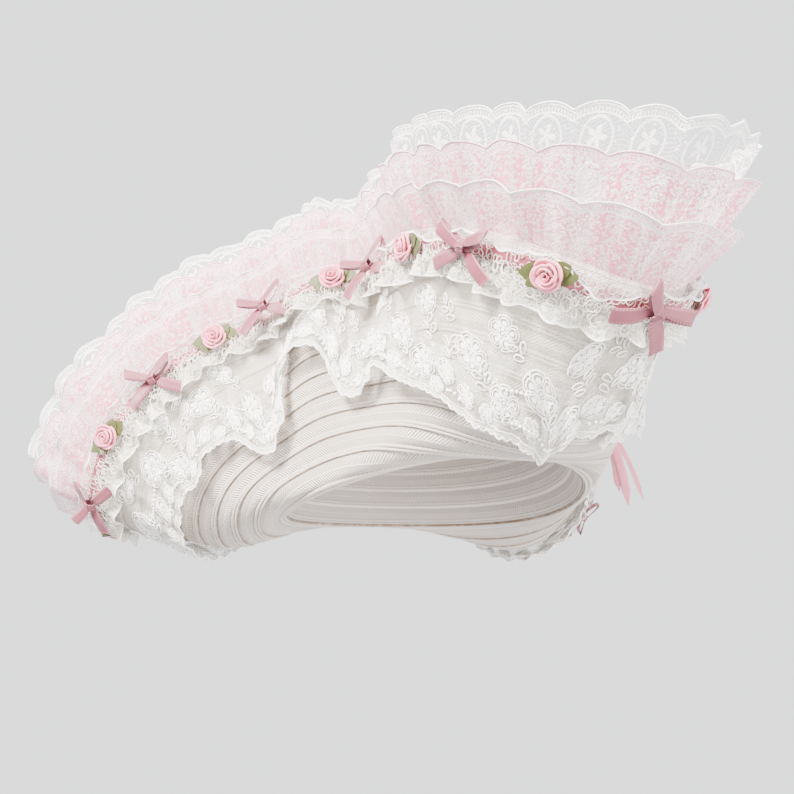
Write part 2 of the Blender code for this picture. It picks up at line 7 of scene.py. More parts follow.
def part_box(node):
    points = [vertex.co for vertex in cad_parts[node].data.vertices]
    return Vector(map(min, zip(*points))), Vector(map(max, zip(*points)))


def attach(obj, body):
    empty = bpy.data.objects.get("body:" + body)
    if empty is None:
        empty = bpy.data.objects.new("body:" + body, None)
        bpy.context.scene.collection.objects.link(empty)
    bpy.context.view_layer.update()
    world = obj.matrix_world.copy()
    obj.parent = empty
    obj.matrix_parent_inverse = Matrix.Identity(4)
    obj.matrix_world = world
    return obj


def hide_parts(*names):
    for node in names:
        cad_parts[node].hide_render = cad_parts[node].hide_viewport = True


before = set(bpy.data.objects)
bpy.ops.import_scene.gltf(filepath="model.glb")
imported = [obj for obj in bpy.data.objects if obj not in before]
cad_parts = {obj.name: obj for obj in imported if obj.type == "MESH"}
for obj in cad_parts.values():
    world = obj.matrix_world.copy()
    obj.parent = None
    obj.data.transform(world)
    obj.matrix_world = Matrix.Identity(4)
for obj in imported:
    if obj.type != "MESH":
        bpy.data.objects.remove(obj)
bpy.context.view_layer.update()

# Straw tricorn with lace frills. Metres, +Z up, the front corner points to -Y.
# Angles run round the hat from the front corner toward the wearer's right.

# brim shape, the same numbers as the solids
brim = {
    "openSide": 0.112, "openFront": 0.118, "openTilt": 0.0072, "openSaddle": 0.0059,
    "width": 0.163, "cornerExtra": 0.023, "straw": 0.0026,
    "dipCorner": -31.5, "dipFlap": 0.4, "rimFront": 31.2, "rimBack": 19.6, "rimFlap": 89.1,
    "shoulder": 30.2, "skew": 4.2, "cornerShift": 6.1, "turnCorner": 0.0798, "turnFlap": 0.012,
}
stationDown = 0.008
stationCount = 32


def eased(x):
    x = np.clip(x, 0, 1)
    return x * x * (3 - 2 * x)


def unit(v):
    return v / np.maximum(np.linalg.norm(v, axis=-1, keepdims=True), 1e-12)


def brimPoint(angle, along):
    angle, along = np.broadcast_arrays(np.asarray(angle, float), np.asarray(along, float))
    b = brim
    shifted = angle - radians(b["cornerShift"]) * np.sin(angle)
    flap = np.clip(0.5 * (1 - np.cos(3 * shifted)), 1e-9, 1)
    front = np.clip((np.cos(shifted) + 0.5) / 1.5, 0, 1)
    corner = b["rimBack"] + (b["rimFront"] - b["rimBack"]) * front
    rim = corner + (b["rimFlap"] - corner) * flap ** 1.054 + b["shoulder"] * np.sin(3 * shifted) ** 2
    rim = np.radians(rim + b["skew"] * np.sin(3 * shifted) * np.sin(shifted))
    dip = np.radians(b["dipCorner"] + (b["dipFlap"] - b["dipCorner"]) * flap ** 0.983)
    turn = b["turnCorner"] + (b["turnFlap"] - b["turnCorner"]) * flap
    along = along * (1 + b["cornerExtra"] * np.cos(3 * shifted))
    steps = (np.arange(32) + 0.5) / 32
    slope = dip[..., None] + (rim - dip)[..., None] * eased(along[..., None] * steps / turn[..., None])
    start = 1 / np.sqrt((np.sin(angle) / b["openSide"]) ** 2 + (np.cos(angle) / b["openFront"]) ** 2)
    reach = start + along * np.cos(slope).mean(-1)
    rise = along * np.sin(slope).mean(-1)
    rise = rise - b["openTilt"] * np.cos(angle) + b["openSaddle"] * np.cos(2 * angle)
    return np.stack([-np.sin(angle) * reach, -np.cos(angle) * reach, rise], -1)


def brimFrame(angle, along):
    # point, direction round the hat, direction to the rim, outward normal
    step = 1e-4
    point = brimPoint(angle, along)
    round1 = unit(brimPoint(angle + step, along) - brimPoint(angle - step, along))
    toRim = unit(brimPoint(angle, along + step) - brimPoint(angle, np.maximum(along - step, 0)))
    return point, round1, toRim, unit(np.cross(toRim, round1))


def runAlong(path):  # length along a path, from its first point
    return np.concatenate([[0], np.cumsum(np.linalg.norm(np.diff(path, axis=0), axis=1))])


fineAngles = np.linspace(-pi, pi, 2881)
fineLength = runAlong(brimPoint(fineAngles, np.full(2881, brim["width"] - stationDown)))
rimLength = fineLength[-1]


def angleAt(t):  # t is the distance along the rim from the back middle, in metres
    return np.interp(t, fineLength, fineAngles)


def lengthAt(angle):
    return np.interp(angle, fineAngles, fineLength)


def roundRim(count):  # even places along the rim, and their angles
    t = np.arange(count) / count * rimLength
    return t, angleAt(t)


def fromTable(table, degrees, column):  # eased between the rows of a table that begin with an angle
    i = np.clip(np.searchsorted(table[:, 0], degrees, side="right") - 1, 0, len(table) - 2)
    share = eased((degrees - table[i, 0]) / (table[i + 1, 0] - table[i, 0]))
    return table[i, column] + (table[i + 1, column] - table[i, column]) * share


def smoothNoise(t, seed, size, total):  # smooth wandering between -1 and 1, closed round the rim
    cells = max(3, int(round(total / size)))
    values = np.random.default_rng(seed).uniform(-1, 1, cells)
    x = np.asarray(t) / total * cells
    i = np.floor(x).astype(int)
    f = eased(x - i)
    return values[i % cells] * (1 - f) + values[(i + 1) % cells] * f


def smoothed(values, reach):  # closed running mean, three times over
    kernel = np.ones(2 * reach + 1) / (2 * reach + 1)
    for _ in range(3):
        values = np.convolve(np.concatenate([values[-reach:], values, values[:reach]]), kernel, "valid")
    return values


# mesh helpers
def makeMesh(name, points, faces, uvs=None, material=None, smooth=True):
    mesh = bpy.data.meshes.new(name)
    points = np.asarray(points, float).reshape(-1, 3)
    faces = np.asarray(faces)
    corners = faces.shape[1]
    mesh.vertices.add(len(points))
    mesh.vertices.foreach_set("co", points.ravel())
    mesh.loops.add(faces.size)
    mesh.loops.foreach_set("vertex_index", faces.ravel().astype(np.int32))
    mesh.polygons.add(len(faces))
    mesh.polygons.foreach_set("loop_start", np.arange(0, faces.size, corners, dtype=np.int32))
    mesh.update(calc_edges=True)
    if uvs is not None:
        layer = mesh.uv_layers.new(name="UVMap")
        layer.data.foreach_set("uv", np.asarray(uvs, float).ravel())
    mesh.polygons.foreach_set("use_smooth", np.full(len(faces), smooth))
    if material:
        mesh.materials.append(material)
    mesh.validate()
    piece = bpy.data.objects.new(name, mesh)
    bpy.context.collection.objects.link(piece)
    return piece


def gridParts(points, us, vs, wrap=True, flip=False):
    # us and vs hold one value per row of faces and corner column (rows-1, cols+1) or per vertex row
    rows, cols = points.shape[:2]
    count = cols if wrap else cols - 1
    r, c = np.meshgrid(np.arange(rows - 1), np.arange(count), indexing="ij")
    after = (c + 1) % cols
    quads = np.stack([r * cols + c, r * cols + after, (r + 1) * cols + after, (r + 1) * cols + c], -1)
    low = us[:-1] if us.shape[0] == rows else us
    high = us[1:] if us.shape[0] == rows else us
    vLow = vs[:-1] if vs.shape[0] == rows else vs[::2]
    vHigh = vs[1:] if vs.shape[0] == rows else vs[1::2]
    uv = np.stack([
        np.stack([low[r, c], vLow[r, c]], -1), np.stack([low[r, c + 1], vLow[r, c + 1]], -1),
        np.stack([high[r, c + 1], vHigh[r, c + 1]], -1), np.stack([high[r, c], vHigh[r, c]], -1)], -2)
    quads, uv = quads.reshape(-1, 4), uv.reshape(-1, 4, 2)
    if flip:
        quads, uv = quads[:, ::-1], uv[:, ::-1]
    return points.reshape(-1, 3), quads, uv


def tubes(paths, radius, sides=4, closed=False, ups=None):
    # many thread paths of equal length at once: paths (n, k, 3), ups (n, k, 3) the side that faces out
    n, k = paths.shape[:2]
    if closed:
        along = unit(np.roll(paths, -1, 1) - np.roll(paths, 1, 1))
    else:
        along = unit(np.gradient(paths, axis=1))
    if ups is None:
        ups = np.broadcast_to(np.array([0.0, 0.0, 1.0]), paths.shape)
    side = unit(np.cross(along, ups))
    up = unit(np.cross(side, along))
    radius = np.broadcast_to(np.asarray(radius, float), (n, k))[..., None]
    ring = []
    for j in range(sides):
        turn = 2 * pi * (j + 0.5) / sides
        ring.append(paths + side * radius * cos(turn) + up * radius * sin(turn))
    points = np.stack(ring, 2)  # n, k, sides, 3
    index = np.arange(n * k * sides).reshape(n, k, sides)
    nextK = np.roll(index, -1, 1) if closed else index[:, 1:]
    hereK = index if closed else index[:, :-1]
    quads = np.stack([hereK, np.roll(hereK, -1, 2), np.roll(nextK, -1, 2), nextK], -1).reshape(-1, 4)
    caps = np.zeros((0, 4), int)
    if not closed and sides == 4:
        caps = np.concatenate([index[:, 0, ::-1], index[:, -1]]).reshape(-1, 4)
    return points.reshape(-1, 3), np.concatenate([quads, caps]), None


def joinParts(parts):
    points, faces, uvs = [], [], []
    start = 0
    for p, f, uv in parts:
        points.append(p)
        faces.append(f + start)
        uvs.append(uv if uv is not None else np.zeros((len(f), f.shape[1], 2)))
        start += len(p)
    return np.concatenate(points), np.concatenate(faces), np.concatenate(uvs)


def band(first, second, cols, turned=False):  # faces between two closed rows of points
    here = np.arange(cols)
    after = (here + 1) % cols
    faces = np.stack([first + here, first + after, second + after, second + here], -1)
    return faces[:, ::-1] if turned else faces


def closeShell(skins, cols, *bands):  # joins two skins along their edges
    points, faces, uv = joinParts(skins)
    edgeUv = np.full((len(bands) * cols, 4, 2), 0.008)
    return points, np.concatenate([faces, *bands]), np.concatenate([uv, edgeUv])


def columnLengths(grid):  # length of each column of a sheet, from its sewn edge to its free edge
    return np.linalg.norm(np.diff(grid, axis=0), axis=-1).sum(0)


def sheetArea(grid):
    middle = grid[len(grid) // 2]
    return float((columnLengths(grid) * np.linalg.norm(np.roll(middle, -1, 0) - middle, axis=-1)).sum())


def closedSheet(name, grid, along, down, material, flip=False):
    # along holds one length more than there are columns, down the distance below the edge
    us = np.repeat(along[None, :], len(grid), 0)
    return makeMesh(name, *gridParts(grid, us, np.hstack([down, down[:, :1]]), flip=flip), material)


def finishPiece(piece, slotName, *nodes):
    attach(piece, "root")
    if nodes:
        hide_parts(*nodes)
    return piece


def threadPiece(name, parts, material, slotName):
    points, faces, _ = joinParts(parts)
    return finishPiece(makeMesh(name, points, faces, None, material), slotName)


def solidPoints(node):  # the corners of a solid of the frame
    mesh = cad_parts[node].data
    points = np.empty(len(mesh.vertices) * 3)
    mesh.vertices.foreach_get("co", points)
    return points.reshape(-1, 3)


# material helpers
def newMaterial(name, colour, roughness, **extra):
    material = bpy.data.materials.new(name)
    material.use_nodes = True
    shader = material.node_tree.nodes["Principled BSDF"]
    shader.inputs["Base Color"].default_value = (*colour, 1)
    shader.inputs["Roughness"].default_value = roughness
    for key, value in extra.items():
        shader.inputs[key.replace("_", " ")].default_value = value
    return material, material.node_tree, shader


def fill(socket, value):  # with a number, a colour or a field
    if isinstance(value, Field):
        value.tree.links.new(value.socket, socket)
    else:
        socket.default_value = (*value, 1) if isinstance(value, tuple) else value


class Field:  # a value that varies over a surface; what is reckoned with it becomes nodes
    def __init__(self, tree, socket):
        self.tree, self.socket = tree, socket

    def math(self, operation, *others, clamp=False):
        node = self.tree.nodes.new("ShaderNodeMath")
        node.operation, node.use_clamp = operation, clamp
        for socket, value in zip(node.inputs, (self, *others)):
            fill(socket, value)
        return Field(self.tree, node.outputs[0])

    def __add__(self, other):
        return self.math("ADD", other)

    def __sub__(self, other):
        return self.math("SUBTRACT", other)

    def __rsub__(self, number):
        return self.math("MULTIPLY_ADD", -1, number)

    def __mul__(self, other):
        return self.math("MULTIPLY", other)

    def __abs__(self):
        return self.math("ABSOLUTE")

    def over(self, other, clamp=False):  # the larger of the two
        return self.math("MAXIMUM", other, clamp=clamp)

    def wave(self, pitch):  # 0 to 1, one hump each pitch
        return (self * (2 * pi / pitch)).math("SINE").math("MULTIPLY_ADD", 0.5, 0.5)

    def ramp(self, low, high, outLow=0.0, outHigh=1.0):
        node = self.tree.nodes.new("ShaderNodeMapRange")
        node.interpolation_type = "SMOOTHSTEP"
        limits = {"From Min": low, "From Max": high, "To Min": outLow, "To Max": outHigh}
        for name, value in {"Value": self, **limits}.items():
            fill(node.inputs[name], value)
        return Field(self.tree, node.outputs[0])


def uvOf(tree):
    split = tree.nodes.new("ShaderNodeSeparateXYZ")
    tree.links.new(tree.nodes.new("ShaderNodeUVMap").outputs[0], split.inputs[0])
    return Field(tree, split.outputs[0]), Field(tree, split.outputs[1])


def placeOn(tree):  # the point on the piece itself
    return Field(tree, tree.nodes.new("ShaderNodeTexCoord").outputs["Object"])


def flatVector(x, y):
    node = x.tree.nodes.new("ShaderNodeCombineXYZ")
    fill(node.inputs[0], x)
    fill(node.inputs[1], y)
    return Field(x.tree, node.outputs[0])


def mixColour(amount, a, b):
    node = amount.tree.nodes.new("ShaderNodeMix")
    node.data_type = "RGBA"
    for socket, value in ((node.inputs["Factor"], amount), (node.inputs[6], a), (node.inputs[7], b)):
        fill(socket, value)
    return Field(amount.tree, node.outputs[2])


def noise(tree, scale, detail=2.0, vector=None):
    node = tree.nodes.new("ShaderNodeTexNoise")
    for name, value in (("Scale", scale), ("Detail", detail), ("Vector", vector or placeOn(tree))):
        fill(node.inputs[name], value)
    return Field(tree, node.outputs["Fac"])


def bump(shader, height, distance, strength=1.0):
    node = height.tree.nodes.new("ShaderNodeBump")
    for name, value in (("Distance", distance), ("Strength", strength), ("Height", height)):
        fill(node.inputs[name], value)
    height.tree.links.new(node.outputs[0], shader.inputs["Normal"])


def makeOpen(shader, solid):  # lets the view through where solid is 0
    tree = solid.tree
    mix = tree.nodes.new("ShaderNodeMixShader")
    fill(mix.inputs[0], solid)
    tree.links.new(tree.nodes.new("ShaderNodeBsdfTransparent").outputs[0], mix.inputs[1])
    tree.links.new(shader.outputs[0], mix.inputs[2])
    tree.links.new(mix.outputs[0], tree.nodes["Material Output"].inputs["Surface"])


# camera, lights, floor
view = {
    "lens": 41.81,
    "right": (0.89358, -0.43732, -0.10132), "up": (-0.07805, -0.37362, 0.92429),
    "back": (-0.44207, -0.81802, -0.36800), "distance": 0.70996,
    "focal": 922.229, "middle": 397, "origin": (433.496, 500.958),  # in pixels of the 794 wide frame
}
studio = {"floorDrop": 2.4, "floorSize": 9.0, "wall": (0.96, 0.97, 1.0), "room": (1.0, 0.965, 0.92),
          "near": 0.98, "behind": 2.12, "paint": (0.78, 0.79, 0.80),
          # place, size, watts, colour; a place is right, up and back from the camera, but the top lamp's
          # is in the hat's own frame
          "lamps": [
              ("key", (-0.8, 1.2, 0.2), 0.6, 245, (1.0, 0.955, 0.895)),
              ("fill", (0.9, 0.1, 0.2), 1.2, 48, (1.0, 0.975, 0.94)),
              ("top", (0.1, 0.3, 1.3), 1.1, 34, (1.0, 0.985, 0.965)),
          ]}


def makeCamera():
    back = Vector(view["back"]).normalized()
    right = Vector(view["right"])
    right = (right - back * right.dot(back)).normalized()
    up = back.cross(right)
    camera = bpy.data.objects.new("camera", bpy.data.cameras.new("camera"))
    camera.data.lens = view["lens"]
    camera.data.sensor_width = 36
    camera.data.clip_start = 0.01
    distance = view["distance"]
    across, down = ((pixel - view["middle"]) * distance / view["focal"] for pixel in view["origin"])
    place = back * distance - right * across + up * down
    camera.matrix_world = Matrix.Translation(place) @ Matrix((right, up, back)).transposed().to_4x4()
    bpy.context.collection.objects.link(camera)
    bpy.context.scene.camera = camera
    return place, right, up, back


def makeStudio(place, right, up, back):
    world = bpy.data.worlds.new("studio")
    bpy.context.scene.world = world
    world.use_nodes = True
    tree = world.node_tree
    sky = tree.nodes["Background"]
    # the bright wall stands behind the hat, the room in front of it is dimmer
    facing = tree.nodes.new("ShaderNodeVectorMath")
    facing.operation = "DOT_PRODUCT"
    facing.inputs[1].default_value = -back
    tree.links.new(tree.nodes.new("ShaderNodeTexCoord").outputs["Generated"], facing.inputs[0])
    facing = Field(tree, facing.outputs["Value"])
    fill(sky.inputs["Strength"], facing.ramp(-0.5, 0.8, studio["near"], studio["behind"]))
    fill(sky.inputs["Color"], mixColour(facing.ramp(-0.2, 0.6), studio["room"], studio["wall"]))
    for name, (x, y, z), size, power, colour in studio["lamps"]:
        where = Vector((x, y, z)) if name == "top" else place + right * x + up * y + back * z
        lamp = bpy.data.lights.new(name, "AREA")
        lamp.size, lamp.energy, lamp.color = size, power, colour
        thing = bpy.data.objects.new(name, lamp)
        aim = (where - Vector((0, -0.05, 0.08))).to_track_quat("Z", "Y")
        thing.matrix_world = Matrix.Translation(where) @ aim.to_matrix().to_4x4()
        bpy.context.collection.objects.link(thing)
    sides, size = 64, studio["floorSize"]
    turns = np.linspace(0, 2 * pi, sides + 1)[:-1]
    mesh = bpy.data.meshes.new("floor")
    rim = [(cos(turn) * size, sin(turn) * size, -studio["floorDrop"]) for turn in turns]
    mesh.from_pydata(rim, [], [range(sides)])
    mesh.materials.append(newMaterial("pale floor", studio["paint"], 0.7)[0])
    floor = bpy.data.objects.new("floor", mesh)
    bpy.context.collection.objects.link(floor)


# sewn straw
straw = {
    "firstRow": 0.0208, "pitch": 0.01627, "columns": 420, "crownRow": 0.0163,
    "colour": (0.90, 0.80, 0.71), "pinker": (0.87, 0.795, 0.755), "warmer": (0.89, 0.75, 0.70),
    # thread: the dark seam thread colour, also used as painted shade in the seam gaps and grooves
    "thread": (0.30, 0.20, 0.13), "stitch": 0.0022, "sunk": 0.0004,
    # heights across one row: a shadow gap, two narrow ridges, then the slightly crowned plait
    "outside": [
        (0.00, -0.0009), (0.025, 0.0004), (0.07, 0.0015), (0.12, 0.0011), (0.155, 0.0), (0.19, 0.0009),
        (0.235, 0.0012), (0.28, 0.0006), (0.315, -0.0002), (0.36, 0.0004), (0.48, 0.0008), (0.64, 0.0009),
        (0.82, 0.0006), (0.95, 0.0001)],
    "inside": [(0.0, -0.0003), (0.12, 0.0003), (0.5, 0.0006), (0.88, 0.0003)],
}


def strawMaterial():
    material, tree, shader = newMaterial(
        "sewn straw", straw["colour"], 0.5, Sheen_Weight=0.15, Sheen_Roughness=0.4)
    u, v = uvOf(tree)
    p = straw["pitch"]
    # two slanting stitches meet along the middle of the plait, with a plain plait beside them
    fold = abs(v - 0.62 * p)
    chevron = (u + fold).wave(straw["stitch"])
    inBand = fold.ramp(0.30 * p, 0.34 * p, 1, 0)
    plait = (u - v * 1.6).wave(0.0013)
    height = chevron * inBand * fold.ramp(0.0001, 0.0006) + plait * 0.35 * (1 - inBand)
    bump(shader, height + noise(tree, 900, 3) * 0.35, 0.0017)
    # dark thread and painted shade in the seams, the dark needle holes, and painted shade in the grooves beside
    # the ridges and in the grooves of the plait
    holes = u.wave(0.0034).ramp(0.86, 0.97) * abs(fold - 0.315 * p).ramp(0.0002, 0.0006, 1, 0)
    # painted shade along the groove between the two ridges and the groove before the plait
    second = abs(v - 0.155 * p).ramp(0.0001, 0.0005, 0.68, 0)
    third = abs(v - 0.315 * p).ramp(0.0001, 0.0005, 0.50, 0)
    # the seam line is dark thread with painted shade in the gap between rows, joined with the painted groove
    # shade
    edge = v.ramp(0.0003, 0.0011, 1, 0).over(second.over(third))
    seamThreadAndShade = edge * noise(tree, 160).ramp(0.25, 0.6, 0.60, 1)
    # painted shade in the low parts of the slanting stitches
    grooveShade = (chevron * inBand).ramp(0.0, 0.45, 0.44, 0)
    threadAndShade = seamThreadAndShade.over(holes * 0.85).over(grooveShade * inBand)
    patches = noise(tree, 22, 3).ramp(0.35, 0.7)
    tint = mixColour(patches, straw["colour"], straw["pinker"])
    lustre = mixColour(noise(tree, 60).ramp(0.45, 0.75, 0, 0.5), tint, straw["warmer"])
    # the dark thread colour also paints the shade in the seams and grooves
    fill(shader.inputs["Base Color"], mixColour(threadAndShade, lustre, straw["thread"]))
    fill(shader.inputs["Roughness"], patches.ramp(0, 1, 0.42, 0.58))
    return material


def rowStarts():
    starts = [0.0]
    while starts[-1] < brim["width"] - straw["pitch"] * 0.8:
        starts.append(straw["firstRow"] + straw["pitch"] * (len(starts) - 1))
    return starts


def makeBrim(material):
    starts = np.array(rowStarts() + [brim["width"]])
    rows, cols = len(starts) - 1, straw["columns"]
    angles = roundRim(cols)[1]
    full = np.append(angles, angles[0] + 2 * pi)
    runs = [runAlong(brimPoint(full, np.full(cols + 1, mid))) for mid in (starts[:-1] + starts[1:]) / 2]
    skins, counts = [], []
    for side, profile in ((1, straw["outside"]), (-1, straw["inside"])):
        share, lift = np.array(profile).T
        along = np.append(starts[:-1, None] + np.diff(starts)[:, None] * share, brim["width"])
        lift = np.append(np.tile(lift, rows), 0.0)
        point, _, _, normal = brimFrame(angles[None, :], np.repeat(along[:, None], cols, 1))
        grid = point + normal * (side * (brim["straw"] / 2 - straw["sunk"] + lift))[:, None, None]
        place = share * straw["pitch"]
        pairs = np.stack([place, np.append(place[1:], straw["pitch"])], 1).ravel()
        vs = np.repeat(np.tile(pairs, rows)[:, None], cols + 1, 1)
        skins.append(gridParts(grid, np.repeat(runs, len(share), 0), vs, flip=side < 0))
        counts.append(len(along))
    start, last = counts[0] * cols, (counts[0] - 1) * cols
    rim = band(last, start + (counts[1] - 1) * cols, cols)
    shell = closeShell(skins, cols, rim, band(0, start, cols, turned=True))
    finishPiece(makeMesh("sewnBrim", *shell, material), "straw", "brim")


crown = {
    "top": 0.117, "radius": 0.115, "round": 0.72, "columns": 160, "rows": 96,  # round: the way round its foot
    "profile": [(0.0, 1.0), (0.006, 0.978), (0.024, 0.925), (0.048, 0.875), (0.072, 0.832), (0.087, 0.78),
                (0.100, 0.70), (0.108, 0.58), (0.1135, 0.42), (0.1163, 0.2), (0.117, 0.0)],
}


def makeCrown(material):
    profile = np.array(crown["profile"])
    run = runAlong(profile * (1, crown["radius"]))
    rows, cols = crown["rows"], crown["columns"]
    t = np.linspace(0, run[-1] - 0.0006, rows)
    height, share = np.interp(t, run, profile[:, 0]), np.interp(t, run, profile[:, 1])
    kernel = np.array([1, 2, 3, 2, 1]) / 9
    height[2:-2] = np.convolve(height, kernel, "valid")
    share[2:-2] = np.convolve(share, kernel, "valid")
    edge = brimPoint(np.linspace(-pi, pi, cols + 1)[:-1], np.zeros(cols))
    left = 1 - height / crown["top"]
    grid = edge[None] * np.stack([share, share, left], -1)[:, None]
    grid[..., 2] += height[:, None]
    across = np.roll(grid, -1, 1) - np.roll(grid, 1, 1)
    normal = unit(np.cross(across, np.gradient(grid, axis=0)))
    normal *= np.sign(-(normal[10] * grid[10])[:, :2].sum(-1).mean())  # inward
    within = (t % straw["crownRow"]) / straw["crownRow"]
    ridge = 0.0006 * np.exp(-((within - 0.12) / 0.06) ** 2) + 0.0004 * np.sin(pi * within)
    around = np.append(runAlong(edge[:, :2]), crown["round"])
    us = around[None, :] * share[:-1, None]
    tops = np.where(within[1:] < within[:-1], 1, within[1:])
    vs = np.repeat(np.stack([within[:-1], tops], 1).reshape(-1, 1), cols + 1, 1) * straw["pitch"]
    stand = normal * (brim["straw"] / 2 - straw["sunk"] + ridge)[:, None, None]
    skins = [gridParts(grid + stand, us, vs, flip=True), gridParts(grid - stand, us, vs)]
    start, last = rows * cols, (rows - 1) * cols
    shell = closeShell(skins, cols, band(0, start, cols, turned=True), band(last, start + last, cols))
    finishPiece(makeMesh("sewnCrown", *shell, material), "straw", "crown")


# upstanding lace frills
# angle from the front, lean of the lace in degrees, stretch of its height
frillLean = [(0, 28.5, 1.25), (20, 47, 0.91), (35, 78, 0.95), (60, 93, 1), (85, 85, 1), (105, 80, 0.97),
             (122, 37, 0.94), (140, 43, 0.94), (180, 70, 0.94)]
frills = {
    "tallLace": {
        "node": "tall_lace", "slot": "white_net", "height": 0.076, "foot": -0.0016, "spread": -0.010,
        "scallop": 0.030, "dip": 0.0058, "ruche": 0.55, "seed": 3, "scroll": True, "body": 0.20,
        "colour": (0.965, 0.96, 0.94), "cord": (0.99, 0.985, 0.97), "motif": (0.99, 0.985, 0.97)},
    "pinkLace": {
        "node": "pink_lace", "slot": "pink_net", "height": 0.058, "foot": 0.0, "spread": 0.0,
        "scallop": 0.039, "dip": 0.0062, "ruche": 1.1, "seed": 5, "body": 0.38, "weave": 0.56,
        "colour": (0.82, 0.19, 0.34), "cord": (0.89, 0.58, 0.66), "motif": (0.95, 0.83, 0.855)},
    "shortLace": {
        "node": "short_lace", "slot": "pale_pink_net", "height": 0.0355, "foot": 0.0016, "spread": 0.007,
        "scallop": 0.039, "dip": 0.0045, "ruche": 1.1, "seed": 8, "body": 0.38, "weave": 0.56,
        "colour": (0.82, 0.24, 0.38), "cord": (0.92, 0.78, 0.81), "motif": (0.95, 0.85, 0.87)},
}
frillFolds = {"big": 0.0030, "small": 0.0024, "fine": 0.0010, "flutter": 0.0016, "sway": 0.0016,
              "thread": 0.00055}


def leanAt(angle, column):
    degrees = np.abs((np.degrees(angle) + 180) % 360 - 180)
    return fromTable(np.array(frillLean, float), degrees, column)


def frillFrame(angles):
    rim, round1, toRim, _ = brimFrame(angles, np.full(angles.shape, brim["width"]))
    level = round1.copy()
    level[:, 2] = 0
    level = unit(level)
    square = np.stack([-level[:, 1], level[:, 0], 0 * angles], -1)
    radial = np.stack([-np.sin(angles), -np.cos(angles), 0 * angles], -1)
    square *= np.sign((square * radial).sum(-1))[:, None]
    outward = unit(radial * 0.65 + square * 0.35)
    lean = np.radians(leanAt(angles, 1))[:, None]
    upward = outward * np.cos(lean) + np.array([0, 0, 1]) * np.sin(lean)
    normal = unit(np.cross(upward, round1))
    return rim + toRim * 0.0008, upward, normal


def laceMaterial(name, spec):
    # u runs along the lace, v is the distance below its scalloped edge
    material, tree, shader = newMaterial(
        name, spec["colour"], 0.8, Sheen_Weight=0.3, Sheen_Roughness=0.5)
    u, v = uvOf(tree)
    wobble = (noise(tree, 110) - 0.5) * 0.0030
    ua, va = u + wobble, v + wobble
    cell = 0.0024
    net = (ua + va).wave(cell).over((ua * 0.7 - va).wave(cell)).ramp(0.74, 0.95)
    edge = v.ramp(0.0012, 0.0017, 1, 0)
    ladder = abs(v - 0.0034).ramp(0.0009, 0.0013, 1, 0) * u.wave(0.0019).ramp(0.45, 0.7)
    secondLine = abs(v - 0.0052).ramp(0.0004, 0.0009, 1, 0)
    figure = edge * 0.8 if spec.get("plain") else ladder.over(edge.over(secondLine))
    flat = flatVector(u, v)
    if spec.get("scroll"):
        # rounds with a small flower under each scallop, and scattered sprigs below them
        pitch = spec["scallop"]
        dx = (u.math("DIVIDE", pitch).math("FRACT") - 0.5) * pitch
        for down, size in ((0.0175, 0.0092), (0.0400, 0.0080), (0.0600, 0.0070)):
            dy = (va - down) * 0.85
            far = (dx * dx + dy * dy).math("SQRT")
            ring = abs(far - size).ramp(0.0004, 0.0012, 0.85, 0)
            petal = abs((dy.math("ARCTAN2", dx) * 2.5).math("SINE")) * (size * 0.62)
            figure = figure.over(ring.over((far - petal).ramp(0.0, 0.0007, 0.9, 0)))
        figure = figure.over(noise(tree, 420, 1, flat).ramp(0.60, 0.66, 0, 0.75))
        tone = mixColour(figure, spec["colour"], spec["motif"])
        solid = net.math("MULTIPLY_ADD", 0.30, spec["body"] - 0.10).over(figure, clamp=True)
    else:
        # close-set flecks of colour over pale net, ruched into upright streaks
        streak = noise(tree, 150, 2, flatVector(u, v * 0.14))
        thick = (noise(tree, 560, 2, flat) + (streak - 0.5) * 0.8).ramp(0.43, 0.55)
        pale = noise(tree, 300, 2, flat).ramp(0.50, 0.60)
        tone = mixColour(pale * 0.75, spec["colour"], spec["motif"])
        tone = mixColour(thick, spec["motif"], tone)
        tone = mixColour(figure, tone, spec["cord"])
        weave = (thick * 0.92).over(net * 0.55)
        solid = weave.math("MULTIPLY_ADD", spec["weave"], spec["body"]).over(figure, clamp=True)
        figure = figure.over(thick)
    makeOpen(shader, solid)
    fill(shader.inputs["Base Color"], tone)
    bump(shader, figure + net * 0.4, 0.0006, 0.8)
    return material


def cordMaterial(name, colour):
    material, tree, shader = newMaterial(
        name, colour, 0.65, Sheen_Weight=0.25, Sheen_Roughness=0.5)
    twist = tree.nodes.new("ShaderNodeTexWave")
    for key, value in (("Scale", 260), ("Distortion", 3.0), ("Vector", placeOn(tree))):
        fill(twist.inputs[key], value)
    bump(shader, Field(tree, twist.outputs["Fac"]), 0.0002, 0.8)
    tone = mixColour(noise(tree, 120).ramp(0.3, 0.7, 0, 0.5), colour, tuple(c * 0.93 for c in colour))
    fill(shader.inputs["Base Color"], tone)
    return material


def scallopDrop(t, pitch, dip):
    x = (t / pitch) % 1.0
    return dip * (1 - np.abs(np.sin(pi * x)) ** 0.62)


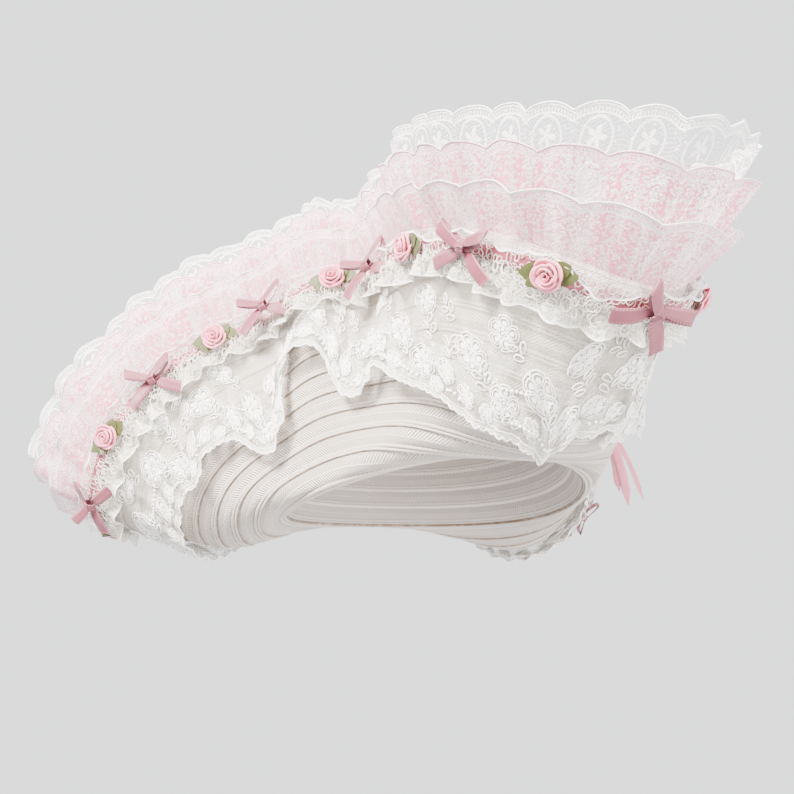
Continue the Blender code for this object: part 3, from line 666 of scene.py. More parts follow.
def makeFrill(name, spec):
    cols, rows = 1080, 17
    t, angles = roundRim(cols)
    foot, upward, normal = frillFrame(angles)
    stretch = leanAt(angles, 2)
    # length along the lace: its top edge, gathered closer on the flaps than at the corners
    top = foot + upward * (spec["height"] * stretch)[:, None]
    speed = np.linalg.norm(np.roll(top, -1, 0) - top, axis=1)
    flat = np.clip(np.abs((np.degrees(angles) + 60) % 120 - 60) / 40 - 0.35, 0, 1)
    speed = smoothed(speed * (1 + spec["ruche"] * eased(flat)), 20)
    lace = np.append(0, np.cumsum(speed)[:-1])
    laceLong = float(speed.sum())
    pitch = laceLong / round(laceLong / spec["scallop"])
    height = spec["height"] * stretch - scallopDrop(lace, pitch, spec["dip"])
    seed, folds = spec["seed"], frillFolds

    def wander(more, size):
        return smoothNoise(t, seed + more, size, rimLength)

    big = folds["big"] * np.sin(t / rimLength * stationCount * 2 * pi + 0.6 * wander(0, 0.11))
    small = folds["small"] * wander(20, 0.0080) + folds["fine"] * wander(30, 0.0042)
    flutter = folds["flutter"] * np.sin(lace / pitch * 2 * pi + seed)
    sway = folds["sway"] * wander(40, 0.03)
    along = unit(np.roll(foot, -1, 0) - np.roll(foot, 1, 0))
    tallest = frills["tallLace"]["height"]
    grid = []
    for up in np.linspace(0, 1, rows):
        out = spec["foot"] + up * spec["spread"] + up * big * spec["height"] / tallest + flutter * up ** 2
        out = out + small * min(1, up * 4) * (1 - 0.4 * up)
        point = foot + upward * (height * up)[:, None] + normal * out[:, None]
        grid.append(point + along * (up * sway)[:, None])
    grid = np.array(grid)
    down = np.linspace(1, 0, rows)[:, None] * height
    net = laceMaterial(name + " net", dict(spec, scallop=pitch))
    piece = closedSheet(name, grid, np.append(lace, laceLong), down, net)
    finishPiece(piece, spec["slot"], spec["node"])
    # corded edge along the scallops, with a point between each two of the net's
    edge = grid[-1]
    path = np.stack([edge, (edge + np.roll(edge, -1, 0)) / 2], 1).reshape(1, -1, 3)
    rope = tubes(path, folds["thread"], closed=True, ups=np.repeat(normal, 2, 0)[None])
    cord = threadPiece(name + "Edge", [rope], cordMaterial(name + " edge", spec["cord"]), spec["slot"])
    widest, area = float(height.max()), sheetArea(grid)
    print(name, "flat", round(laceLong, 3), round(widest, 4), "area", round(area, 4))


# narrow ruffle under the gimp
ruffle = {
    "top": 0.011, "drop": 0.030, "scallop": 0.0125, "dip": 0.002, "flutes": 78, "thread": 0.00036,
    "lean": 0.0052, "fold": 0.0050, "uneven": 0.004, "tucked": 0.65, "edge": (0.93, 0.90, 0.85),
    "lace": {"colour": (0.90, 0.85, 0.77), "motif": (0.92, 0.89, 0.83), "cord": (0.92, 0.89, 0.83),
             "body": 0.30, "weave": 0.50, "plain": True},
}
# the hanging lace: where it is sewn on, below the rim, and how far it stands off the straw there
hangStart, hangClear = 0.003, 0.0021
hangRows = [(0.0, 0.0), (0.33, 0.15), (0.66, 0.55), (1.0, 1.0)]
# its folds as the solid has them: angle, drop of the hem below the rim, stand-off of the hem
hangFolds = [
    (-166, 0.095, 0.018), (-150, 0.112, 0.008), (-137, 0.085, 0.016), (-122, 0.105, 0.008),
    (-108, 0.085, 0.016),
    (-95, 0.110, 0.014), (-82, 0.080, 0.008), (-69, 0.110, 0.018), (-56, 0.078, 0.008), (-45, 0.100, 0.014),
    (-33, 0.085, 0.014), (-20, 0.112, 0.012), (-10, 0.084, 0.014), (0, 0.092, 0.012), (5, 0.126, 0.008),
    (12, 0.112, 0.012), (25, 0.100, 0.012), (36, 0.084, 0.016), (43, 0.104, 0.010), (54, 0.101, 0.008),
    (60, 0.064, 0.018), (73, 0.058, 0.022), (81, 0.124, 0.008), (88, 0.112, 0.008), (100, 0.083, 0.016),
    (113, 0.090, 0.012), (126, 0.094, 0.010), (138, 0.112, 0.008), (152, 0.085, 0.016), (166, 0.110, 0.008),
    (180, 0.095, 0.014),
]


def foldAt(angle, column):
    table = np.array(hangFolds, float)
    table = np.vstack([table[-1] - (360, 0, 0), table, table[0] + (360, 0, 0)])
    return fromTable(table, (np.degrees(angle) + 180) % 360 - 180, column)


def hangSwell(share):  # how much of its full stand-off the lace has, from its sewn edge to its hem
    return np.interp(share, *np.array(hangRows).T)


def hangStand(angle, below):
    share = (below - hangStart) / (foldAt(angle, 1) - hangStart)
    return hangClear + foldAt(angle, 2) * hangSwell(share)


def makeRuffle():
    cols, rows = 1100, 9
    t, angles = roundRim(cols)
    pitch = rimLength / round(rimLength / ruffle["scallop"])
    drop = ruffle["drop"] - scallopDrop(t, pitch, ruffle["dip"])
    drop = drop + ruffle["uneven"] * smoothNoise(t, 12, 0.03, rimLength)
    gather = np.sin(t / rimLength * 2 * pi * ruffle["flutes"] + 2.2 * smoothNoise(t, 14, 0.05, rimLength))
    grid = []
    for share in np.linspace(0, 1, rows):
        below = ruffle["top"] + (drop - ruffle["top"]) * share
        point, _, _, normal = brimFrame(angles, brim["width"] - below)
        out = hangStand(angles, below) + 0.0016 + share * (ruffle["lean"] + ruffle["fold"] * gather)
        out = out + share ** 2 * 0.001
        grid.append(point + normal * out[:, None])
    grid = np.array(grid)
    down = np.linspace(1, 0, rows)[:, None] * drop * ruffle["tucked"]
    net = laceMaterial("ruffle net", dict(ruffle["lace"], scallop=pitch))
    piece = closedSheet("gatheredRuffle", grid, np.append(t, rimLength), down, net, flip=True)
    finishPiece(piece, "ruffle_net", "rim_ruffle")
    rope = tubes(grid[-1:], ruffle["thread"], closed=True)
    cord = threadPiece("ruffleEdge", [rope], cordMaterial("ruffle edge", ruffle["edge"]), "ruffle_net")


# edge of the short lace, drooping over the gimp between the ornaments
heading = {
    "rows": [(-0.0030, 0.0030), (-0.0018, 0.0068), (0.0010, 0.0098), (0.0045, 0.0112), (0.0080, 0.0116),
             (0.0115, 0.0114)],  # below the rim, and out from the straw
    "scallop": 0.011, "dip": 0.0018, "flutes": 88, "fold": 0.0015, "thread": 0.00034,
    "edge": (0.93, 0.90, 0.885),
    "lace": {"colour": (0.90, 0.70, 0.76), "motif": (0.93, 0.86, 0.87), "cord": (0.93, 0.88, 0.88),
             "body": 0.09, "weave": 0.27, "plain": True},
}


def makeHeading():
    t, angles = roundRim(1100)
    rows = heading["rows"]
    highest, reach = rows[0][0], rows[-1][0] - rows[0][0]
    between = 0.5 - 0.5 * np.cos(2 * pi * t / rimLength * stationCount)
    droop = 0.12 + 0.80 * between * np.clip(0.35 + 0.75 * smoothNoise(t, 51, 0.05, rimLength), 0, 1)
    pitch = rimLength / round(rimLength / heading["scallop"])
    droop = droop - scallopDrop(t, pitch, heading["dip"]) / reach
    flute = np.sin(t / rimLength * 2 * pi * heading["flutes"] + 2.0 * smoothNoise(t, 53, 0.04, rimLength))
    grid = []
    for i, (below, out) in enumerate(rows):
        share = i / (len(rows) - 1)
        point, _, _, normal = brimFrame(angles, brim["width"] - (highest + (below - highest) * droop))
        grid.append(point + normal * (out + heading["fold"] * flute * share * (0.4 + between))[:, None])
    grid = np.array(grid)
    run = np.cumsum(np.linalg.norm(np.diff(grid, axis=0), axis=-1), axis=0)
    down = run[-1][None] - np.vstack([0 * run[:1], run])
    net = laceMaterial("drooping net", dict(heading["lace"], scallop=pitch))
    piece = closedSheet("droopingEdge", grid, np.append(t, rimLength), down, net)
    finishPiece(piece, "pale_pink_net")
    rope = tubes(grid[-1:], heading["thread"], closed=True)
    thread = cordMaterial("drooping cord", heading["edge"])
    cord = threadPiece("droopingCord", [rope], thread, "pale_pink_net")


# gimp braid over pink ribbon
gimp = {
    "lower": 0.0150, "upper": 0.0010, "seat": 0.0037, "inset": 0.0025, "high": 0.0012, "thread": 0.00036,
    "ribbon": (0.42, 0.095, 0.14), "loop": (0.91, 0.865, 0.775),
    # section of the ribbon: share of its width, share of its height
    "section": [(0.0, 0.0), (0.0, 0.6), (0.12, 1.0), (0.35, 0.8), (0.5, 0.95), (0.65, 0.8), (0.88, 1.0),
                (1.0, 0.6), (1.0, 0.0)],
    # loops along both edges and the middle, then loose curls over the ruffle:
    # how many, from and to below the rim, smallest and largest, least and most stand-off
    "rows": [(520, (0.0120, 0.0150), (0.0018, 0.0032), (0.0008, 0.0030)),
             (520, (0.0020, 0.0040), (0.0016, 0.0024), (0.0008, 0.0024)),
             (520, (0.0060, 0.0110), (0.0014, 0.0028), (0.0012, 0.0026)),
             (1900, (0.0130, 0.0240), (0.0014, 0.0032), (0.0004, 0.0052))],
}


def gimpFrame(t, below):
    angles = angleAt(t % rimLength)
    point, _, _, normal = brimFrame(angles, brim["width"] - below)
    lift = hangStand(angles, np.minimum(below, gimp["lower"])) + gimp["seat"]
    return point + normal * np.asarray(lift)[..., None], normal


def loopRow(rng, count, place, sizes, stand):  # closed loops of thread, each turned and sized by chance
    turn = np.linspace(0, 2 * pi, 10)[:-1]
    x, y = np.cos(turn)[None, :], np.sin(turn)[None, :]

    def chance(low, high):
        return rng.uniform(low, high, (count, 1))

    centre = (np.arange(count) + rng.uniform(-0.45, 0.45, count)) / count * rimLength
    size = chance(*sizes)
    t = centre[:, None] + x * size * chance(0.6, 1.15)
    below = chance(*place) + y * size * chance(0.8, 1.4)
    base, normal = gimpFrame(t, below)
    tilt = chance(-1, 1) * 0.0009 * y
    sway = chance(-1, 1) * 0.0007 * x
    return base + normal * (chance(*stand) + tilt + sway)[..., None], normal


def makeGimp():
    # a ribbon with a raised edge on each side, under loops of thread
    t, _ = roundRim(640)
    lower, inset = gimp["lower"], gimp["inset"]
    grid = []
    for share, high in gimp["section"]:
        below = np.full(len(t), lower - inset - (lower - gimp["upper"] - 2 * inset) * share)
        base, normal = gimpFrame(t, below)
        grid.append(base + normal * (high * gimp["high"]))
    across = np.array([share for share, _ in gimp["section"]])[:, None] * 0.012
    satin = satinMaterial("gimp ribbon", gimp["ribbon"], picot=False)
    piece = closedSheet("gimpRibbon", np.array(grid), np.append(t, rimLength), across + 0 * t, satin)
    finishPiece(piece, "gimp", "rim_trim")
    rng = np.random.default_rng(7)
    paths, outs = zip(*(loopRow(rng, *row) for row in gimp["rows"]))
    loops = tubes(np.concatenate(paths), gimp["thread"], sides=3, closed=True, ups=np.concatenate(outs))
    threadPiece("gimpLoops", [loops], cordMaterial("gimp thread", gimp["loop"]), "gimp")


# wide lace hanging over the flaps
# its hem, in the order of the lace: angle round the hat, drop below the rim, stand-off from the straw
hemFolds = [
    (-180, 0.095, 0.014), (-166, 0.095, 0.018), (-150, 0.112, 0.008), (-137, 0.085, 0.016),
    (-122, 0.105, 0.008), (-108, 0.085, 0.016), (-95, 0.110, 0.014), (-82, 0.080, 0.008), (-69, 0.110, 0.018), (-56, 0.078, 0.008),
    (-45, 0.092, 0.014), (-33, 0.085, 0.014), (-21, 0.114, 0.013), (-19, 0.100, 0.010), (-5, 0.104, 0.006),
    (-11, 0.082, 0.008), (2.5, 0.094, 0.011), (4, 0.105, 0.010), (5.5, 0.118, 0.009), (8, 0.111, 0.011),
    (11.5, 0.107, 0.013), (18.5, 0.108, 0.013), (24.5, 0.100, 0.013), (31, 0.096, 0.014), (36, 0.084, 0.017),
    (43.5, 0.104, 0.011), (50, 0.106, 0.010), (54, 0.099, 0.010), (59.5, 0.066, 0.018), (63.5, 0.058, 0.020),
    (71, 0.057, 0.014), (79.5, 0.068, 0.006), (77, 0.085, 0.009), (74, 0.098, 0.015), (82, 0.124, 0.013),
    (87.5, 0.115, 0.010), (95, 0.089, 0.012), (101.5, 0.082, 0.014), (104.5, 0.093, 0.012), (108, 0.085, 0.014),
    (117, 0.088, 0.013), (125.5, 0.096, 0.010), (138, 0.110, 0.008), (152, 0.085, 0.016), (166, 0.110, 0.008),
    (180, 0.095, 0.014),
]
hem = {
    # near is how much of the way round counts in the length of the hem
    "scallop": 0.0066, "dip": 0.0019, "near": 0.75, "ripples": 84, "cord": 0.00062, "innerCord": 0.00042,
    "colour": (0.90, 0.855, 0.765), "bright": (0.97, 0.955, 0.92), "thread": (0.975, 0.96, 0.925),
}
# the embroidery of one repeat, in metres along the hem and above it
motifs = {
    "repeat": 0.112, "loop": 0.00056, "leaf": 0.00062, "clear": 0.022,
    "flowers": [  # place, size, petals, turn
        (0.014, 0.019, 0.0112, 6, 0.3), (0.037, 0.036, 0.0128, 6, 0.1), (0.062, 0.019, 0.0108, 5, 0.5),
        (0.088, 0.040, 0.0120, 6, 0.2), (0.066, 0.058, 0.0105, 5, 0.4), (0.012, 0.060, 0.0100, 6, 0.7),
        (0.092, 0.013, 0.0068, 5, 0.4), (0.041, 0.013, 0.0062, 5, 0.9), (0.108, 0.020, 0.0075, 6, 0.5),
        (0.076, 0.0086, 0.0050, 5, 0.2), (0.002, 0.0082, 0.0048, 5, 0.7)],
    "sprigs": [  # place, turn, leaves, size
        (0.026, 0.021, 1.2, 4, 0.0062), (0.050, 0.012, 0.15, 3, 0.0060), (0.075, 0.022, 1.1, 4, 0.0062),
        (0.103, 0.030, 1.5, 4, 0.0060), (0.004, 0.036, 1.1, 4, 0.0060), (0.050, 0.048, 0.7, 3, 0.0058),
        (0.100, 0.056, 0.5, 4, 0.0056)],
    "beads": [  # from, to, sag, how many
        (0.020, 0.008, 0.056, 0.009, -0.003, 12), (0.047, 0.030, 0.080, 0.032, 0.004, 11),
        (0.098, 0.008, 0.107, 0.009, -0.002, 4)],
}


def layHem():
    folds = np.array(hemFolds, float)
    t = lengthAt(np.radians(folds[:, 0]))
    run = np.concatenate([[0], np.cumsum(np.hypot(np.diff(t) * hem["near"], np.diff(folds[:, 1])))])
    w = np.arange(4000) / 4000 * run[-1]
    even = w / run[-1] * rimLength
    lean = np.interp(w, run, t) - even
    drop, stand = (np.interp(w, run, folds[:, column]) for column in (1, 2))
    hem.update(long=run[-1], w=w, hemT=smoothed(lean, 9) + even, topT=smoothed(lean, 120) + even,
               drop=smoothed(drop, 9), stand=smoothed(stand, 25))


layHem()


def hemAt(w, name):
    long = hem["long"]
    turns = np.floor(np.asarray(w) / long)
    extra = rimLength if name in ("hemT", "topT") else 0.0
    values = np.append(hem[name], hem[name][0] + extra)
    return np.interp(w - turns * long, np.append(hem["w"], long), values) + turns * extra


def hangPoint(w, share, above=0.0):
    # w runs along the hem, share is 0 at the sewn edge and 1 at the hem
    drop, long = hemAt(w, "drop"), hem["long"]
    t = hemAt(w, "topT") + (hemAt(w, "hemT") - hemAt(w, "topT")) * share ** 1.7
    below = hangStart + (drop - hangStart) * share
    point, _, _, normal = brimFrame(angleAt(t % rimLength), brim["width"] - below)
    wander = 1.6 * smoothNoise(w % long, 31, 0.06, long)
    ripple = 0.0014 * share * np.sin(w / long * 2 * pi * hem["ripples"] + wander)
    out = hangClear + hemAt(w, "stand") * hangSwell(share) + ripple + above
    return point + normal * out[..., None], normal, drop


def makeWideLace():
    cols, rows, long = 1500, 24, hem["long"]
    w = np.arange(cols) / cols * long
    grid = np.array([hangPoint(w, np.full(cols, r / (rows - 1)))[0] for r in range(rows)])
    down = np.linspace(1, 0, rows)[:, None] * hemAt(w, "drop")
    piece = closedSheet("embroideredLace", grid, np.append(w, long), down, hangMaterial(), flip=True)
    finishPiece(piece, "embroidered_net", "wide_lace")
    thread = cordMaterial("embroidery", hem["thread"])
    # the satin-stitched hem: small scallops with a second cord inside them
    fine = np.arange(4200) / 4200 * long
    bite = scallopDrop(fine, long / round(long / hem["scallop"]), hem["dip"]) - hem["dip"] * 0.5
    drop = hemAt(fine, "drop")
    ropes = []
    for up, above, radius in ((bite, 0.0, hem["cord"]), (0.0034 + 0.3 * bite, 0.0003, hem["innerCord"])):
        line, normal, _ = hangPoint(fine, 1 - up / drop, above)
        ropes.append(tubes(line[None], radius, closed=True, ups=normal[None]))
    cord = threadPiece("stitchedHem", ropes, thread, "embroidered_net")
    stitched = threadPiece("stitchedFlowers", motifParts(), thread, "embroidered_net")
    wide = float(columnLengths(grid).max())
    area = min(sheetArea(grid), long * wide)


def hangMaterial():
    # see-through net, clouded where the embroidery is thick
    material, tree, shader = newMaterial(
        "embroidered net", hem["colour"], 0.8, Sheen_Weight=0.3, Sheen_Roughness=0.5)
    u, v = uvOf(tree)
    ua = u + (noise(tree, 90) - 0.5) * 0.0024
    net = (ua + v).wave(0.0021).over((ua - v).wave(0.0021)).ramp(0.80, 0.97)
    flat = flatVector(u, v)
    thick = noise(tree, 60, 3, flat).ramp(0.40, 0.55) * v.ramp(0.030, 0.060, 1.0, 0.35)
    scroll = abs(noise(tree, 210, 2, flat) - 0.5).ramp(0.012, 0.036, 1, 0) * thick
    border = v.ramp(0.0030, 0.0036, 0.75, 0)
    ground = net.math("MULTIPLY_ADD", 0.24, 0.17) + thick * 0.26
    makeOpen(shader, ground.over(scroll.over(border), clamp=True))
    fill(shader.inputs["Base Color"], mixColour(scroll, hem["colour"], hem["bright"]))
    bump(shader, net + scroll, 0.0006, 0.8)
    return material


def motifParts():
    # flowers with doubled petals, looped leaves and rows of beads, laid out flat and carried onto the lace
    loops, leaves, beads, pads = [], [], [], []
    turn = np.linspace(0, 2 * pi, 9)[:-1]

    def petal(cx, cy, angle, near, far, half):
        mid, reach = (near + far) / 2, (far - near) / 2
        x = mid + reach * np.cos(turn)
        y = half * np.sin(turn) * (1 + 0.30 * np.cos(turn))
        return np.stack([cx + x * cos(angle) - y * sin(angle), cy + x * sin(angle) + y * cos(angle)], -1)

    def flower(cx, cy, size, petals, phase):
        outlines = ((loops, 0.24, 1.0, 0.44), (loops, 0.32, 0.84, 0.29), (pads, 0.38, 0.70, 0.15))
        for k in range(petals):
            for kept, near, far, half in outlines:
                kept.append(petal(cx, cy, phase + 2 * pi * k / petals, size * near, size * far, size * half))
        loops.append(petal(cx, cy, 0, -size * 0.20, size * 0.20, size * 0.19))
        pads.append(petal(cx, cy, 0, -size * 0.10, size * 0.10, size * 0.10))

    def sprig(cx, cy, angle, count, size):
        for k in range(count):
            side = 1 if k % 2 else -1
            x, y = cx + cos(angle) * size * 0.55 * k, cy + sin(angle) * size * 0.55 * k
            leaves.append(petal(x, y, angle + side * 0.85, size * 0.1, size * 1.30, size * 0.30))

    def beadArc(fromX, fromY, toX, toY, sag, count):
        for s in np.linspace(0, 1, count):
            beads.append((fromX + (toX - fromX) * s, fromY + (toY - fromY) * s - sag * sin(pi * s)))

    repeats = round(hem["long"] / motifs["repeat"])
    for x0 in np.arange(repeats) * (hem["long"] / repeats):
        for x, *rest in motifs["flowers"]:
            flower(x0 + x, *rest)
        for x, *rest in motifs["sprigs"]:
            sprig(x0 + x, *rest)
        for x, y, toX, *rest in motifs["beads"]:
            beadArc(x0 + x, y, x0 + toX, *rest)

    def carry(flat, above):
        flat = np.asarray(flat)
        drop = hemAt(flat[..., 0], "drop")
        return hangPoint(flat[..., 0], np.clip(1 - flat[..., 1] / drop, 0.02, 1), above)

    def fits(flat):
        flat = np.asarray(flat)
        return flat[..., 1].max(-1) < hemAt(flat[..., 0].mean(-1), "drop") - motifs["clear"]

    loops, leaves, pads = np.array(loops), np.array(leaves), np.array(pads)
    loops, leaves, pads = loops[fits(loops)], leaves[fits(leaves)], pads[fits(pads)]
    parts = []
    for shapes, radius in ((loops, motifs["loop"]), (leaves, motifs["leaf"])):
        path, normal, _ = carry(shapes, 0.0007)
        parts.append(tubes(path, radius, sides=3, closed=True, ups=normal))
    path, normal, _ = carry(pads, 0.0005)
    high, _, _ = carry(pads.mean(1), 0.0011)
    n = len(pads)
    index = np.arange(n * 8).reshape(n, 8)
    hub = n * 8 + np.arange(n)
    fans = [[index[:, j], index[:, j + 1], index[:, (j + 2) % 8], hub] for j in range(0, 8, 2)]
    fans = np.concatenate([np.stack(fan, -1) for fan in fans])
    parts.append((np.concatenate([path.reshape(-1, 3), high]), fans, None))
    beads = np.array(beads)
    centre, normal, _ = carry(beads[fits(beads[:, None])], 0.0006)
    side = unit(np.cross(normal, [0.3, 0.2, 1]))
    other = np.cross(normal, side)
    ring = []
    for size, lift in ((0.0012, 0.0), (0.0011, 0.0006), (0.0006, 0.0011)):
        for j in range(6):
            a = 2 * pi * j / 6
            ring.append(centre + side * size * cos(a) + other * size * sin(a) + normal * lift)
    ring = np.stack(ring, 1)
    n = len(ring)
    index = np.arange(n * 18).reshape(n, 3, 6)
    quads = []
    for low, high in ((index[:, 0], index[:, 1]), (index[:, 1], index[:, 2])):
        for j in range(6):
            after = (j + 1) % 6
            quads.append(np.stack([low[:, j], low[:, after], high[:, after], high[:, j]], -1))
    quads += [index[:, 2, [0, 1, 2, 3]], index[:, 2, [0, 3, 4, 5]]]
    parts.append((ring.reshape(-1, 3), np.concatenate(quads), None))
    return parts


# satin ribbon roses, leaves and bows
def satinMaterial(name, colour, picot=True, clear=0.0):
    def lighter(gain, more=0.0):
        return tuple(min(1, c * gain + more) for c in colour)

    material, tree, shader = newMaterial(
        name, colour, 0.36, Anisotropic=0.5, Sheen_Weight=0.2, Sheen_Roughness=0.35)
    u, v = uvOf(tree)
    bump(shader, u.wave(0.00028) + noise(tree, 300), 0.00012, 0.5)
    tone = mixColour(noise(tree, 140, 3).ramp(0.3, 0.7, 0, 0.7), colour, lighter(1.15))
    if picot:
        dots = u.wave(0.0016).ramp(0.40, 0.70) * abs(v).ramp(0.66, 0.76)
        tone = mixColour(dots * 0.7, tone, lighter(1.7, 0.10))
    fill(shader.inputs["Base Color"], tone)
    if clear:
        makeOpen(shader, noise(tree, 200).ramp(0.2, 0.8, 1 - clear, 1 - clear * 0.6))
    return material


def ribbon(path, across, width, thick=0.0003, taper=None):
    # flat ribbon along path (k,3), across (k,3) is its width direction; closed solid section
    path, across = np.asarray(path, float), unit(np.asarray(across, float))
    along = unit(np.gradient(path, axis=0))
    out = unit(np.cross(along, across))
    width = np.full(len(path), width) if taper is None else width * np.asarray(taper)
    cross = ((-1, 1), (-0.5, 1), (0, 1), (0.5, 1), (1, 1), (1, -1), (0.5, -1), (0, -1), (-0.5, -1), (-1, -1))
    rows = []
    for side, face in cross:
        cup = 0.02 * (1 - side * side) * width
        rows.append(path + across * (side * width / 2)[:, None] + out * (face * thick / 2 + cup)[:, None])
    k, m = len(path), len(cross)
    points = np.stack(rows, 1)
    index = np.arange(k * m).reshape(k, m)
    run = runAlong(path)
    quads, uv = [], []
    for j in range(m):
        n = (j + 1) % m
        quads.append(np.stack([index[:-1, j], index[:-1, n], index[1:, n], index[1:, j]], -1))
        a, b = cross[j][0], cross[n][0]
        corners = [(run[:-1], a), (run[:-1], b), (run[1:], b), (run[1:], a)]
        uv.append(np.stack([np.stack([x, 0 * x + y], -1) for x, y in corners], 1))
    quads.append(np.array([index[0, [i, i + 1, 8 - i, 9 - i]] for i in range(4)]
                          + [index[-1, [9 - i, 8 - i, i + 1, i]] for i in range(4)]))
    uv.append(np.zeros((8, 4, 2)))
    return points.reshape(-1, 3), np.concatenate(quads), np.concatenate(uv)


rose = {
    "ribbon": (0.86, 0.27, 0.36), "leaf": (0.066, 0.076, 0.016), "size": 0.86,
    "heart": [(0.0, 0.004), (0.0, 0.0085), (0.0002, 0.0112), (0.0006, 0.0118), (0.0009, 0.0113)],  # out, up
    # rings of petals: how many, first turn, half the width as a turn, radius, lowest, top, flare
    "rings": [(2, 0.0, 1.75, 0.0031, 0.0030, 0.0118, 0.0004), (3, 0.9, 1.30, 0.0049, 0.0026, 0.0106, 0.0013),
              (4, 0.2, 1.02, 0.0066, 0.0022, 0.0084, 0.0024)],
    # a petal from its foot to its rolled edge: share of the height, out, down
    "petal": [(0, -0.0006, 0), (0.3, 0, 0), (0.6, 0.0002, 0), (0.82, 0.0004, 0), (0.95, 0.0009, 0),
              (1.0, 0.0014, 0), (1.0, 0.0020, 0.0005), (1.0, 0.0022, 0.0013)],
    # turn, lift and size of each leaf
    "leaves": [(0.0, 0.0, 1.0), (pi, 0.0, 1.0), (0.42, 0.0008, 0.82), (pi + 0.5, 0.0008, 0.8)],
}
bow = {
    "loop": 0.0155, "height": 0.0135, "width": 0.0078, "colour": (0.215, 0.052, 0.076),
    "size": 1.16, "frontSize": 1.30, "lift": {-1: 0.34, 1: 0.46},
    # bows that don't lie as the rest do, by number
    "turn": {1: -0.42, 2: -0.25}, "tip": {3: 0.55, 4: 0.34},
}


def roseParts():
    # a tight coiled heart with three rings of folded petals, their edges rolled outward
    def curled(turn, reaches, highs, run):
        grid = [np.stack([np.cos(turn) * reach, np.sin(turn) * reach, 0 * turn + high], -1)
                for reach, high in zip(reaches, highs)]
        shape = (len(grid), 1)
        return gridParts(np.array(grid), np.tile(run, shape), np.zeros((len(grid), len(turn))), wrap=False)

    s = np.linspace(0, 1, 40)
    out, up = zip(*rose["heart"])
    parts = [curled(s * 1.8 * 2 * pi, [0.0007 + 0.0017 * s + lean for lean in out], up, s * 0.02)]
    x = np.linspace(-1, 1, 13)
    crest = np.cos(x * pi / 2) ** 0.45
    for count, first, half, radius, low, top, flare in rose["rings"]:
        tall = (top - low) * (0.52 + 0.48 * crest)
        highs = [low + tall * up - down for up, _, down in rose["petal"]]
        reaches = [radius + out + flare * up ** 2 * crest + 0.0009 * x for up, out, _ in rose["petal"]]
        for n in range(count):
            parts.append(curled(first + 2 * pi * n / count + x * half, reaches, highs, x * 0.006))
    return joinParts(parts)


def leafParts():
    parts = []
    s, sides = np.linspace(0, 1, 12), np.linspace(-1, 1, 7)
    for turn, lift, size in rose["leaves"]:
        half = 0.0046 * np.sin(pi * s ** 0.8) ** 0.9 * size + 0.0003
        x = 0.0025 + s * 0.0150 * size
        grid = []
        for side in sides:
            y = side * half + 0.0010 * np.sin(s * 3) * side
            z = 0.0012 + lift + 0.0022 * s ** 1.5 + 0.0013 * abs(side) * (1 - s)
            z = z + 0.0007 * np.sin(s * pi) * (1 - side * side)
            grid.append(np.stack([x * cos(turn) - y * sin(turn), x * sin(turn) + y * cos(turn), z], -1))
        us, vs = np.tile(s * 0.014, (len(sides), 1)), np.repeat(sides[:, None] * 0.8, len(s), 1)
        parts.append(gridParts(np.array(grid), us, vs, wrap=False))
    return joinParts(parts)


def bowParts():
    def perked(points, angle):  # turned up about the line of the rim
        x, y, z = points.T
        return np.stack([x, y * cos(angle) + z * sin(angle), z * cos(angle) - y * sin(angle)], -1)

    parts = []
    for side, lift in bow["lift"].items():
        s = np.linspace(0, 1, 26)
        arch = np.sin(pi * s)
        # out along the gimp, round the end and back over to the knot
        x = side * bow["loop"] * arch ** 0.75
        y = 0.0016 * side * (s - 0.5) + 0.0008 * arch
        z = 0.0016 + bow["height"] * (0.06 + 0.94 * s) * (0.45 + 0.55 * arch) * (1 - 0.30 * s)
        path = perked(np.stack([x, y, z], -1), lift)
        path[:, 1] += 0.0052 * arch - 0.0008
        across = perked(np.stack([0.20 * side * np.cos(pi * s), np.ones(26), 0.25 * (s - 0.5)], -1), lift)
        parts.append(ribbon(path, across, bow["width"], taper=0.45 + 0.55 * arch ** 0.5))
        s = np.linspace(0, 1, 12)
        tail = np.stack([side * (0.001 + 0.0175 * s), -0.0008 - 0.0125 * s ** 0.9,
                         0.0022 + 0.0016 * np.sin(pi * s) + 0.0008 * s], -1)
        across = np.cross(np.gradient(tail, axis=0), [0, 0, 1]) * side
        across[:, 2] += 0.0002 * np.sin(s * 3)
        parts.append(ribbon(tail, across, bow["width"] * 0.95, taper=0.5 + 0.5 * np.clip(s * 3, 0, 1)))
    s = np.linspace(0, 2 * pi, 15)
    knot = np.stack([0 * s, 0.0036 * np.sin(s), 0.0036 + 0.0027 * np.cos(s)], -1)
    parts.append(ribbon(knot, np.tile([1.0, 0.1, 0], (15, 1)), 0.0046, thick=0.0006))
    return joinParts(parts)


def sharedMesh(name, parts, material):  # one mesh for all ornaments of a kind
    first = makeMesh(name, *parts, material)
    mesh = first.data
    bpy.data.objects.remove(first)
    return mesh


def placed(mesh, matrix, slotName, node):
    piece = bpy.data.objects.new(mesh.name + node[-2:], mesh)
    bpy.context.collection.objects.link(piece)
    piece.matrix_world = matrix
    finishPiece(piece, slotName, node)


def stationFrame(node, station):
    # the station's own directions, with the place read off the solid that stands there
    t = (rimLength / 2 + rimLength * station / stationCount) % rimLength
    angle = angleAt(np.array([t]))
    _, _, toRim, normal = brimFrame(angle, np.array([brim["width"] - stationDown]))
    out, up = Vector(normal[0]), Vector(toRim[0])
    side = up.cross(out).normalized()
    up = out.cross(side)
    turn = Matrix((side, up, out)).transposed()
    local = solidPoints(node) @ np.array(turn)
    return turn, local.min(0), local.max(0)


